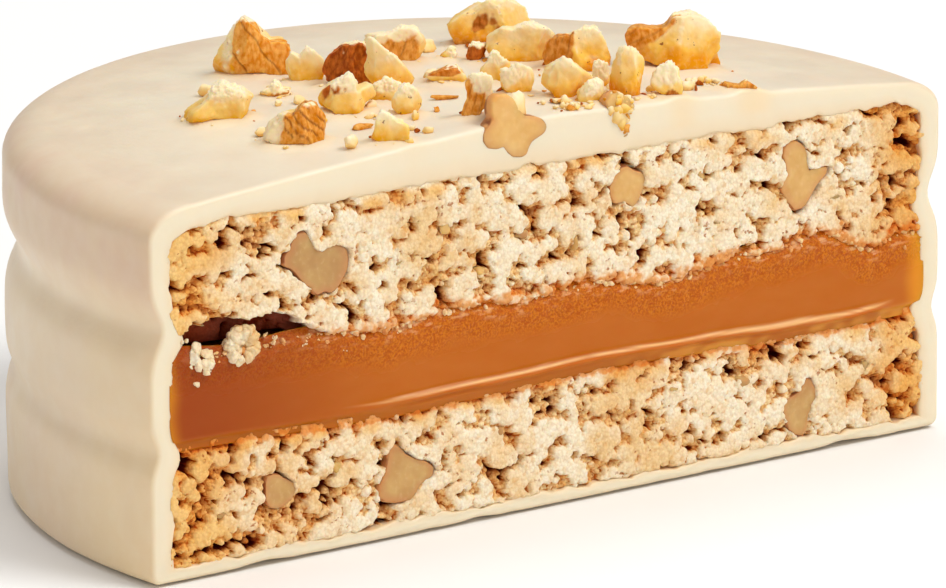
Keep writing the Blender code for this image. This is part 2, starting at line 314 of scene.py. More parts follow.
def foot_dents(x, y):
    """How far the coating's lower edge is dented upwards along the cut."""
    dents = 0.20 * bump(x, -24.5, 1.8) + 0.16 * bump(x, -7.0, 1.2) + 0.20 * bump(x, 24.8, 1.4)
    return (dents + 0.14 * np.maximum(noise(x / 1.9, 2.5, 0.5), 0.0)) * bump(y, CUT_Y, 1.5)


def nut_distance(x, y):
    """Distance in mm from the nearest chopped nut's footprint; negative inside it."""
    nearest = np.full(np.shape(x), 9.0)
    for node in CHUNKS:
        low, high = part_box(node)
        width, depth = footprint(node)
        dx, dy = x - (low.x + high.x) / 2 / MM, y - (low.y + high.y) / 2 / MM
        along = dx * math.cos(FACING) + dy * math.sin(FACING)
        away = dy * math.cos(FACING) - dx * math.sin(FACING)
        share = np.hypot(along / (0.46 * width), away / (0.46 * depth))
        nearest = np.minimum(nearest, (share - 1) * 0.5 * min(width, depth))
    return nearest


def coating_edge_loop(rows):
    """Numbers of the grid's points round the cut, and where each sits on the inner outline.

    The place is (sideways share, upward share): the sideways share runs from 1 at the
    right to -1 at the left, the upward one from 0 at the bottom to 1 at the top."""
    first_ring = TOP_ROWS - 1
    last_ring = first_ring + SHOULDER_ROWS + WALL_ROWS + FOOT_ROWS
    top = np.arange(1, COLUMNS - 1)
    left = np.arange(first_ring, last_ring + 1) * COLUMNS + COLUMNS - 1
    bottom = (rows - 1) * COLUMNS + np.arange(COLUMNS - 2, 0, -1)
    right = np.arange(last_ring, first_ring - 1, -1) * COLUMNS
    return top, left, bottom, right


def loop_normals(edge, reach):
    """Unit normals in the cut plane of a closed loop, each averaged over a short stretch of it."""
    ahead = np.roll(edge, -1, 0) - edge
    place = np.cumsum(np.hypot(ahead[:, 0], ahead[:, 2]))
    length = place[-1]
    sums = np.cumsum(ahead[:, 2]), np.cumsum(-ahead[:, 0])
    here = place - np.hypot(ahead[:, 0], ahead[:, 2])
    parts = [np.interp(here + reach, place, total, period=length) - np.interp(here - reach, place, total,
            period=length)
             for total in sums]
    normal = np.stack([parts[0], np.zeros(len(edge)), parts[1]], -1)
    normal /= np.maximum(np.linalg.norm(normal, axis=1), 1e-9)[:, None]
    outward = np.sum((edge - edge.mean(0)) * normal)
    return normal if outward > 0 else -normal


def make_coating_mesh():
    outside = coating_outside()
    rows = outside.shape[0]
    points = outside.reshape(-1, 3)
    faces = [grid_faces(rows, COLUMNS)]
    top, left, bottom, right = coating_edge_loop(rows)
    loop = np.concatenate([top, left, bottom, right])
    edge = points[loop]

    across = np.cos(math.pi * np.linspace(0, 1, COLUMNS))
    up_left = edge[len(top):len(top) + len(left), 2]
    up_left = up_left / up_left[0]
    up_right = edge[-len(right):, 2]
    up_right = up_right / up_right[-1]
    side = np.concatenate([across[1:-1], np.full(len(left), -1.0), across[-2:0:-1],
                           np.full(len(right), 1.0)])
    up = np.concatenate([np.ones(len(top)), up_left, np.zeros(len(bottom)), up_right])

    def inner(y, ragged):
        roof = COATING_INNER_TOP - corner_drop(side)
        z = COATING_INNER_BOTTOM + up * (roof - COATING_INNER_BOTTOM)
        reach = np.where(side > 0, inner_half_width(1, y, z), inner_half_width(-1, y, z))
        x = side * reach
        bite = 0.35 * noise(x / 1.5, 3.3, z / 1.5) + 0.22 * noise(x / 0.6, 8.1, z / 0.6)
        bite = bite + 0.25 * noise(x / 5, 1.7, z / 5)
        flat = smooth_step(1 - np.abs(side), 0.0, 0.06)
        upright = np.where(np.abs(side) < 1, 0.0, 1.0) * smooth_step(np.minimum(up, 1 - up), 0.0, 0.08)
        z = z + ragged * bite * flat
        x = x + ragged * bite * upright
        return np.stack([x, np.full(len(x), y), z], -1)

    normal = loop_normals(edge, 0.8)
    loops = []
    for angle in np.radians((22, 45, 68, 90)):
        ring = edge - normal * EDGE_ROUND * (1 - math.cos(angle))
        ring[:, 1] = CUT_Y + EDGE_ROUND * (1 - math.sin(angle))
        loops.append(ring)
    inset = loops[-1]
    lip = inner(CUT_Y, 1.0)
    for share in (0.2, 0.4, 0.6, 0.78, 0.92):
        ring = inset + (lip - inset) * share
        low = 1 + 0.9 * smooth_step(ring[:, 2], 2.0, 0.8)
        ring[:, 1] = CUT_Y + 0.09 * low * noise(ring[:, 0] / 1.8, share, ring[:, 2] / 1.8)
        ring[:, 1] += 0.10 * share ** 4
        loops.append(ring)
    for depth, ragged in ((0.16, 1.0), (0.45, 1.05), (1.2, 0.5), (2.5, 0.0), (7, 0), (14, 0), (22, 0),
                          (29, 0),
                          (34, 0)):
        loops.append(inner(CUT_Y + depth, ragged))
    cut_mask = [np.zeros(len(points))]
    warm_mask = [np.zeros(len(points))]
    last = loop
    count = len(points)
    for number, ring in enumerate(loops):
        current = count + np.arange(len(ring))
        faces.append(loop_faces(current, last))
        points = np.concatenate([points, ring])
        cut_mask.append(np.full(len(ring), min(1.0, number / 3)))
        warm_mask.append(np.full(len(ring), min(1.0, max(0.0, (number - 5) / 4))))
        last = current
        count += len(ring)
    faces.append(last[None, ::-1])
    return points, faces, np.concatenate(cut_mask), np.concatenate(warm_mask)


def weld(piece):
    """Join the points that meet at the round's corners."""
    body = bmesh.new()
    body.from_mesh(piece.data)
    bmesh.ops.remove_doubles(body, verts=body.verts, dist=1e-7)
    bmesh.ops.dissolve_degenerate(body, edges=body.edges, dist=1e-8)
    body.to_mesh(piece.data)
    body.free()


# ---------------------------------------------------------------- cut walnut in the crumb

# How deep each piece runs, and the outline of its cut face as shares of its box (across, up).
SECTIONS = {
    "walnut_cut_heart": (2.4, (
        (0.18, 1), (0.4, 1), (0.41, 0.84), (0.47, 0.72), (0.57, 0.65), (0.68, 0.71), (0.83, 0.73),
        (0.95, 0.65),
        (1, 0.5), (0.98, 0.33), (0.9, 0.17), (0.8, 0.03), (0.72, 0), (0.64, 0.05), (0.5, 0.01), (0.42, 0.13),
        (0.28, 0.27), (0.17, 0.42), (0.09, 0.5), (0, 0.54), (0, 0.69), (0.08, 0.78), (0.12, 0.91))),
    "walnut_cut_top_middle": (1.8, (
        (0.15, 0.82), (0.31, 0.98), (0.47, 1), (0.69, 0.85), (0.85, 0.8), (1, 0.66), (0.86, 0.35),
        (0.77, 0.14),
        (0.64, 0), (0.47, 0.14), (0.38, 0.2), (0.18, 0.17), (0.03, 0.37), (0, 0.57), (0.08, 0.72))),
    "walnut_cut_fork": (2.4, (
        (0.06, 0.95), (0.17, 1), (0.33, 0.98), (0.48, 0.9), (0.54, 0.78), (0.53, 0.66), (0.57, 0.53),
        (0.72, 0.59),
        (0.89, 0.65), (1, 0.58), (0.98, 0.45), (0.84, 0.36), (0.73, 0.28), (0.63, 0.16), (0.5, 0.02),
        (0.28, 0),
        (0.1, 0.18), (0, 0.33), (0, 0.44), (0.13, 0.52), (0.08, 0.66), (0.02, 0.81))),
    "walnut_cut_star": (2.0, (
        (0.2, 0.96), (0.31, 1), (0.41, 0.92), (0.49, 0.79), (0.63, 0.69), (0.84, 0.61), (1, 0.5),
        (0.98, 0.34),
        (0.87, 0.29), (0.73, 0.23), (0.67, 0.11), (0.57, 0), (0.36, 0), (0.12, 0.05), (0, 0.16),
        (0.02, 0.34),
        (0.12, 0.54), (0.17, 0.75))),
    "walnut_cut_low_left": (1.4, (
        (0.05, 0.97), (0.2, 1), (0.43, 0.94), (0.56, 0.81), (0.85, 0.66), (1, 0.42), (0.78, 0.18),
        (0.53, 0.02),
        (0.32, 0), (0.13, 0.07), (0, 0.3), (0, 0.76))),
    "walnut_cut_low_right": (1.8, (
        (0.73, 1), (0.87, 0.95), (0.98, 0.8), (1, 0.63), (0.87, 0.5), (0.76, 0.37), (0.75, 0.22),
        (0.74, 0.08),
        (0.62, 0), (0.36, 0.06), (0.17, 0.21), (0.05, 0.4), (0, 0.6), (0.13, 0.69), (0.35, 0.73),
        (0.5, 0.79),
        (0.62, 0.91))),
    "walnut_cut_clover": (1.7, (
        (0.23, 1), (0.38, 0.99), (0.48, 0.9), (0.55, 0.74), (0.65, 0.62), (0.79, 0.59), (0.92, 0.53),
        (1, 0.42),
        (0.97, 0.32), (0.86, 0.26), (0.76, 0.21), (0.71, 0.12), (0.68, 0.03), (0.6, 0), (0.47, 0.02),
        (0.37, 0.11), (0.31, 0.2), (0.21, 0.18), (0.08, 0.22), (0, 0.34), (0, 0.46), (0.08, 0.55),
        (0.16, 0.64),
        (0.14, 0.77), (0.15, 0.91))),
    "walnut_cut_crumbly": (1.1, (
        (0.31, 1), (0.52, 0.94), (0.79, 0.84), (1, 0.66), (0.9, 0.48), (0.77, 0.38), (0.74, 0.22),
        (0.76, 0.05),
        (0.58, 0), (0.36, 0.07), (0.31, 0.24), (0.36, 0.37), (0.21, 0.5), (0.05, 0.66), (0, 0.82),
        (0.16, 0.94))),
}
CRUMBLY = "walnut_cut_crumbly"
ON_EDGE = ("walnut_cut_clover", CRUMBLY)
FACE_DEPTHS = {"walnut_cut_clover": -0.06, CRUMBLY: 0.02}
BRIGHT_SLICES = {"walnut_cut_heart": 0.05, "walnut_cut_top_middle": 0.7, "walnut_cut_fork": 0.65}


def outline_reach(outline, hub, steps=180):
    """Distance from the hub to the outline in evenly spaced directions, softly rounded."""
    corners = np.array(outline, float) - hub
    ahead = np.roll(corners, -1, axis=0)
    angle = np.linspace(-math.pi, math.pi, steps, endpoint=False)
    cos, sin = np.cos(angle)[:, None], np.sin(angle)[:, None]
    edge = ahead - corners
    cross = cos * edge[:, 1] - sin * edge[:, 0]
    cross = np.where(np.abs(cross) < 1e-9, 1e-9, cross)
    along = (corners[:, 0] * edge[:, 1] - corners[:, 1] * edge[:, 0]) / cross
    share = (corners[:, 0] * sin - corners[:, 1] * cos) / cross
    good = (along > 0) & (share >= -1e-6) & (share <= 1 + 1e-6)
    reach = np.where(good, along, 9.0).min(axis=1)
    for _ in range(2):
        reach = (np.roll(reach, 1) + 2 * reach + np.roll(reach, -1)) / 4
    return angle, reach


def section_outline(node):
    """Middle of a cut walnut in its box, and its outline's reach in each direction, in mm."""
    _, outline = SECTIONS[node]
    low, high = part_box(node)
    size = np.array([high.x - low.x, high.z - low.z]) / MM
    corners = np.array(outline) * size
    hub = 0.5 * corners.mean(0) + 0.25 * size
    angle, reach = outline_reach(corners, hub)
    return low.x / MM + hub[0], low.z / MM + hub[1], angle, reach


# ---------------------------------------------------------------- crumb relief

RASTER_STEP = 0.05
RASTER_X = np.arange(-34.5, 34.5, RASTER_STEP)
RASTER_Z = np.arange(-0.5, 26.0, RASTER_STEP)
DEEPEST = 2.3
FLATTENING = 0.42
GRAIN_COUNT = 60000
GRAIN_SIZES = (0.09, 0.26)
LOBE_COUNT = 17000
LOBE_SIZES = (0.17, 0.48)


def crumb_levels(x, z):
    """Where the crumb's pale clumps are, above 0, and how far behind the cut it lies."""
    clump = noise(x / 1.4, 0.3, z / 1.2) + 0.50 * noise(x / 0.62, 5.3, z / 0.55)
    coarse = smooth_step(x, -16.0, -24.0) * smooth_step(z, 11.0, 8.0)
    clump = clump + 0.26 * noise(x / 0.31, 1.3, z / 0.28) + 0.04 - 0.13 * smooth_step(np.abs(x), 26.5, 31.5)
    clump = clump - 0.05 * coarse
    broken = smooth_step(clump, 0.02, -0.04)
    low = smooth_step(clump, -0.05, -0.50)
    pit = noise(x / 0.8, 9.1, z / 0.7) + 0.5 * noise(x / 2.6, 2.1, z / 2.2) + 0.2 * noise(x / 0.3, 4.4,
            z / 0.3)
    pit = smooth_step(pit + 0.10 * coarse, 0.15, 0.21) * smooth_step(clump, 0.12, -0.02)
    return clump, 0.34 * broken + 0.50 * low + 1.35 * pit


def stamp_grains(depth, marked, places, back, radius, marks):
    """Press round grains into the raster, with their marks, where they are the nearest thing."""
    x, z = places
    for number in range(len(x)):
        gx, gz, r = x[number], z[number], radius[number]
        i0, i1 = np.searchsorted(RASTER_X, (gx - r, gx + r))
        j0, j1 = np.searchsorted(RASTER_Z, (gz - r, gz + r))
        flat = (RASTER_X[None, i0:i1] - gx) ** 2 + (RASTER_Z[j0:j1, None] - gz) ** 2
        front = back[number] - np.sqrt(np.maximum(r * r - flat, 0.0))
        window = depth[j0:j1, i0:i1]
        nearer = (flat < r * r) & (front < window)
        window[nearer] = front[nearer]
        for raster, mark in zip(marked, marks):
            raster[j0:j1, i0:i1][nearer] = mark[number]


def crumb_relief():
    """Depth of the crumb behind the cut on a fine raster, with a shade and a level for each grain."""
    rng = np.random.default_rng(5)
    clump, levels = crumb_levels(RASTER_X[None, :], RASTER_Z[:, None])
    depth = levels + 0.22
    ground = levels.copy()
    shade = np.full_like(depth, 0.5)

    def scatter(count, sizes, skew):
        x = rng.uniform(RASTER_X[0] + 0.5, RASTER_X[-1] - 0.5, count)
        z = rng.uniform(RASTER_Z[0] + 0.5, RASTER_Z[-1] - 0.5, count)
        return x, z, sizes[0] + (sizes[1] - sizes[0]) * rng.random(count) ** skew

    x, z, radius = scatter(GRAIN_COUNT, GRAIN_SIZES, 2.0)
    own = sample(levels, x, z)
    back = own + radius * rng.uniform(0.0, 1.0, len(x))
    stamp_grains(depth, (shade, ground), (x, z), back, radius, (rng.random(len(x)), own))
    x, z, radius = scatter(LOBE_COUNT, LOBE_SIZES, 1.6)
    kept = (sample(clump, x, z) > 0.02) & (sample(levels, x, z) < 0.5)
    x, z, radius = x[kept], z[kept], radius[kept]
    back = 0.17 + radius * rng.uniform(0.2, 0.8, len(x))
    marks = rng.uniform(0.35, 1.0, len(x)), rng.uniform(0.0, 0.14, len(x))
    stamp_grains(depth, (shade, ground), (x, z), back, radius, marks)
    return depth, shade, ground


def blur(field, reach):
    """A box average over a square of the raster."""
    for axis in (0, 1):
        pad = [(reach + 1, reach) if a == axis else (0, 0) for a in (0, 1)]
        total = np.cumsum(np.pad(field, pad, mode="edge"), axis=axis)
        width = 2 * reach + 1
        ahead = np.take(total, np.arange(width, total.shape[axis]), axis=axis)
        before = np.take(total, np.arange(0, total.shape[axis] - width), axis=axis)
        field = (ahead - before) / width
    return field


def knife_plane():
    """How far behind the cut the knife left the crumb's flat faces."""
    x, z = RASTER_X[None, :], RASTER_Z[:, None]
    slow = 0.12 + 0.13 * noise(x / 2.6, 0.5, z / 2.2)
    return slow + 0.05 * noise(x / 0.5, 4.5, z / 0.5) + 0.03 * noise(x / 0.22, 1.5, z / 0.22)


def sample(field, x, z):
    """Value of a raster between its points."""
    i = np.clip((x - RASTER_X[0]) / RASTER_STEP, 0, len(RASTER_X) - 1.001)
    j = np.clip((z - RASTER_Z[0]) / RASTER_STEP, 0, len(RASTER_Z) - 1.001)
    i0, j0 = i.astype(int), j.astype(int)
    u, v = i - i0, j - j0
    lower = field[j0, i0] * (1 - u) + field[j0, i0 + 1] * u
    upper = field[j0 + 1, i0] * (1 - u) + field[j0 + 1, i0 + 1] * u
    return lower * (1 - v) + upper * v


def cut_nut_pockets(depth):
    """Sink the crumb where a cut walnut sits in it, so that crumbs lap over its rim in places."""
    x, z = np.meshgrid(RASTER_X, RASTER_Z)
    ragged = 0.18 + 0.26 * noise(x / 0.45, 2.2, z / 0.45) + 0.60 * noise(x / 1.4, 6.2, z / 1.4)
    for node in SECTIONS:
        cx, cz, angle, outline = section_outline(node)
        dx, dz = x - cx, z - cz
        reach = np.interp(np.arctan2(dz, dx), angle, outline, period=math.tau)
        inside = reach - 0.02 + ragged - np.hypot(dx, dz)
        depth = np.maximum(depth, 1.2 * smooth_step(inside, -0.05, 0.10))
    return depth


# ---------------------------------------------------------------- layers

LAYER_DEPTHS = (0.9, 2.0, 3.5, 6.0, 10.0, 16.0, 23.0, 30.0, 34.0)


def make_layer(name, lower, upper, overlap, step, front_depth):
    """A layer inside the coating, whose cut face is a fine relief.

    overlap says how far the face runs on past the layer's edges as (sideways, down, up),
    and front_depth gives the face's depth and its named values at x and z."""
    sideways, down, up = overlap
    middle = 0.5 * (lower(0.0, CUT_Y) + upper(0.0, CUT_Y))
    columns = int(2 * inner_half_width(1, CUT_Y, middle) / step)
    rows = int((upper(0.0, CUT_Y) - lower(0.0, CUT_Y) + down + up) / step)
    side = np.linspace(-1, 1, columns)[None, :]
    rise = np.linspace(0, 1, rows)[:, None]

    def place(side, rise, y):
        near = bump(y, CUT_Y, 1.4)
        x = side * INNER_RADIUS
        for _ in range(3):
            low = lower(x, y) - down * near
            high = upper(x, y) + up * near
            z = low + rise * (high - low)
            reach = np.where(side > 0, inner_half_width(1, y, z), inner_half_width(-1, y, z))
            x = side * (reach - GAP + (sideways + GAP) * near)
        return x, z

    x, z = place(side, rise, CUT_Y)
    depth, values = front_depth(x, z)
    points = np.stack([x, CUT_Y + depth, z], -1).reshape(-1, 3)
    faces = [grid_faces(rows, columns)]
    number = np.arange(rows * columns).reshape(rows, columns)
    loop = np.concatenate([number[0, :-1], number[:-1, -1], number[-1, :0:-1], number[:0:-1, 0]])
    loop_side = np.broadcast_to(side, (rows, columns)).ravel()[loop]
    loop_rise = np.broadcast_to(rise, (rows, columns)).ravel()[loop]
    values = {key: [value.ravel()] for key, value in values.items()}
    last, count = loop, len(points)
    for back in LAYER_DEPTHS:
        lx, lz = place(loop_side, loop_rise, CUT_Y + back)
        ly = np.maximum(np.full(len(lx), CUT_Y + back), points[loop][:, 1] + 0.1)
        points = np.concatenate([points, np.stack([lx, ly, lz], -1)])
        current = count + np.arange(len(loop))
        faces.append(loop_faces(current, last))
        for value in values.values():
            value.append(value[0][loop])
        last = current
        count += len(loop)
    faces.append(last[None, ::-1])
    return build_mesh(name, points, faces, {key: np.concatenate(value) for key, value in values.items()})


def crumb_front(rasters, lower, upper, ends, hangs):
    """The cut face of a cookie: depth and named values at x and z."""
    depth, hollow_shade, crevice_shade, shade, ground = rasters

    def front(x, z):
        deep = sample(depth, x, z)
        deep = deep + 0.05 * noise(x / 0.17, 1.5, z / 0.17)
        ragged = 0.30 * noise(x / 1.2, 3.9, z) + 0.22 * noise(x / 0.4, 6.9, z / 0.4)
        torn = 0.55 * noise(x / 1.1, 2.9, z / 0.8) + 0.35 * noise(x / 0.35, 7.9, z / 0.35)
        from_low = z - lower(x, CUT_Y) + (torn if hangs else ragged)
        from_high = upper(x, CUT_Y) - z + ragged
        gap = smooth_step(x, -18.5, -21.5) if hangs else 0.0
        deep = deep + (0.9 + 0.9 * gap) * smooth_step(from_low, 0.05, -0.9 + 0.72 * gap)
        deep = deep + 0.25 * smooth_step(from_high, 0.35, -0.4)
        patchy = noise(x / 2.3, 7.7, z / 1.8)
        toast = smooth_step(np.abs(x), ends, 31.5) + 0.6 * patchy
        toast = toast + 0.35 * smooth_step(x, -15.0, -25.0) * (not hangs)
        toast = toast + smooth_step(patchy, -0.2, 0.3) * 0.8 * bump(from_high, 0.2, 0.8)
        wet = 0.9 * noise(x / 2.0, 5.7, z / 1.6) + 0.4 * noise(x / 0.5, 4.7, z / 0.5)
        soak = smooth_step(from_low + wet, 1.15,
                           0.0) * (1 - gap) if hangs else smooth_step(from_high + 0.6 * wet, 0.6, 0.0)
        values = {"soak": soak, "deep": deep / DEEPEST, "ground": sample(ground, x, z),
                  "hollow_shade": sample(hollow_shade, x, z), "crevice_shade": sample(crevice_shade, x, z), "shade": sample(shade, x, z),
                  "toast": np.clip(toast, 0, 1)}
        return deep, values
    return front


def filling_front(x, z):
    """The cut face of the caramel: smooth below, rough above, with a curled lip at its foot."""
    h = z - filling_bottom(x, CUT_Y)
    g = filling_top(x, CUT_Y) - z + 0.30 * noise(x / 1.1, 8.5, z / 0.8)
    lip_height = 0.85 + 0.22 * noise(x / 5, 0.5, 0.5) + 0.07 * noise(x / 1.4, 3.5, 0.5)
    reach = smooth_step(x, -19.0, -11.0) * smooth_step(x, 29.5, 26.5)
    heavy = 1 + 0.8 * bump(x, 20.0, 6.0) + 0.6 * noise(x / 2.5, 4.5, 0.5)
    lip = 0.38 * bump(h, lip_height, 0.24) + 0.25 * smooth_step(h, lip_height + 0.1,
            lip_height - 0.3) * bump(h, 0.3, 0.5)
    # Painted highlight: a bright line along the top of the lip's ridge.
    line = bump(h, lip_height + 0.14, 0.075 * np.maximum(heavy, 0.4)) * reach
    under = 0.30 * smooth_step(h, 0.55, 0.1) + 0.22 * bump(h, lip_height - 0.36, 0.16) * reach
    band = smooth_step(g + 0.7 * noise(x / 2.2, 5.5, z / 1.6) + 0.3 * noise(x / 0.6, 6.5, z / 0.5), 2.7, 1.5)
    grit = rough(x / 0.9, 2.5, z / 0.5, 3) + 0.8 * np.abs(noise(x / 0.26, 1.5, z / 0.22))
    depth = -lip * reach + under + 0.10 * noise(x / 7, 0.2, z / 2.5)
    depth = depth + band * (0.08 + 0.12 * grit) + 0.6 * smooth_step(g, 0.5, -0.6)
    # Painted shade: marks the caramel's foot under the lip, which the material darkens.
    foot = smooth_step(h, 0.75, 0.15)
    values = {"band": band, "lip": line, "foot": foot,
              "golden": foot * smooth_step(x, 2.0, 14.0) * smooth_step(noise(x / 1.3, 6.5, z / 0.8), -0.35,
                      0.25), "high": smooth_step(g, 1.2, 0.1),
              "shaded": smooth_step(x, -12.0, -31.0) * np.ones_like(z),
              "end": smooth_step(np.abs(x + 0.6 + 0.5 * noise(z / 1.5, 0.5, 0.5)), 30.4, 32.0)}
    return depth, values


# ---------------------------------------------------------------- cut walnut pieces

def make_section(node, face_depth, material):
    """A walnut slice with a smooth cut face and a rounded body behind it."""
    depth, _ = SECTIONS[node]
    cx, cz, angle, reach = section_outline(node)
    reach = reach if node in ON_EDGE else reach + 0.15
    cos, sin = np.cos(angle), np.sin(angle)
    rings = [(share, 0.0) for share in np.linspace(0.08, 0.90, 11)]
    rings += [(0.94, 0.01), (0.97, 0.05), (0.99, 0.13), (1.0, 0.3), (1.0, 0.7), (0.92, 1.1), (0.7, depth)]
    points, values = [], []
    for share, back in rings:
        x = cx + share * reach * cos
        z = cz + share * reach * sin
        y = CUT_Y + face_depth + back + 0.05 * noise(x / 1.2, back, z / 1.2) + 0.03 * noise(x / 0.4, back,
                z / 0.4)
        side = 0.06 * noise(x / 0.5, 3.0 + back, z / 0.5) * smooth_step(back, 0.1, 0.4)
        points.append(np.stack([x + side * cos, y, z + side * sin], -1))
        pale = (0.30 * smooth_step(z, cz + 0.3, cz + 1.6) + 0.6 * back) * (node in ON_EDGE)
        values.append(share + back - pale + 0 * x)
    points = np.concatenate(points)
    number = np.arange(len(points)).reshape(len(rings), len(angle))
    faces = [loop_faces(number[k], number[k + 1]) for k in range(len(rings) - 1)]
    faces += [number[0][None, ::-1], number[-1][None, :]]
    bright = 0.85 if node in ON_EDGE else BRIGHT_SLICES.get(node, 0.2)
    rise = (points[:, 2] - points[:, 2].min()) / np.ptp(points[:, 2])
    piece = build_mesh(node + "_slice", points, faces,
                       {"rim": np.concatenate(values), "bright": bright, "rise": rise})
    return dress(piece, material, "walnut", node)


# ---------------------------------------------------------------- chopped walnut on top

FACING = math.radians(-35.0)
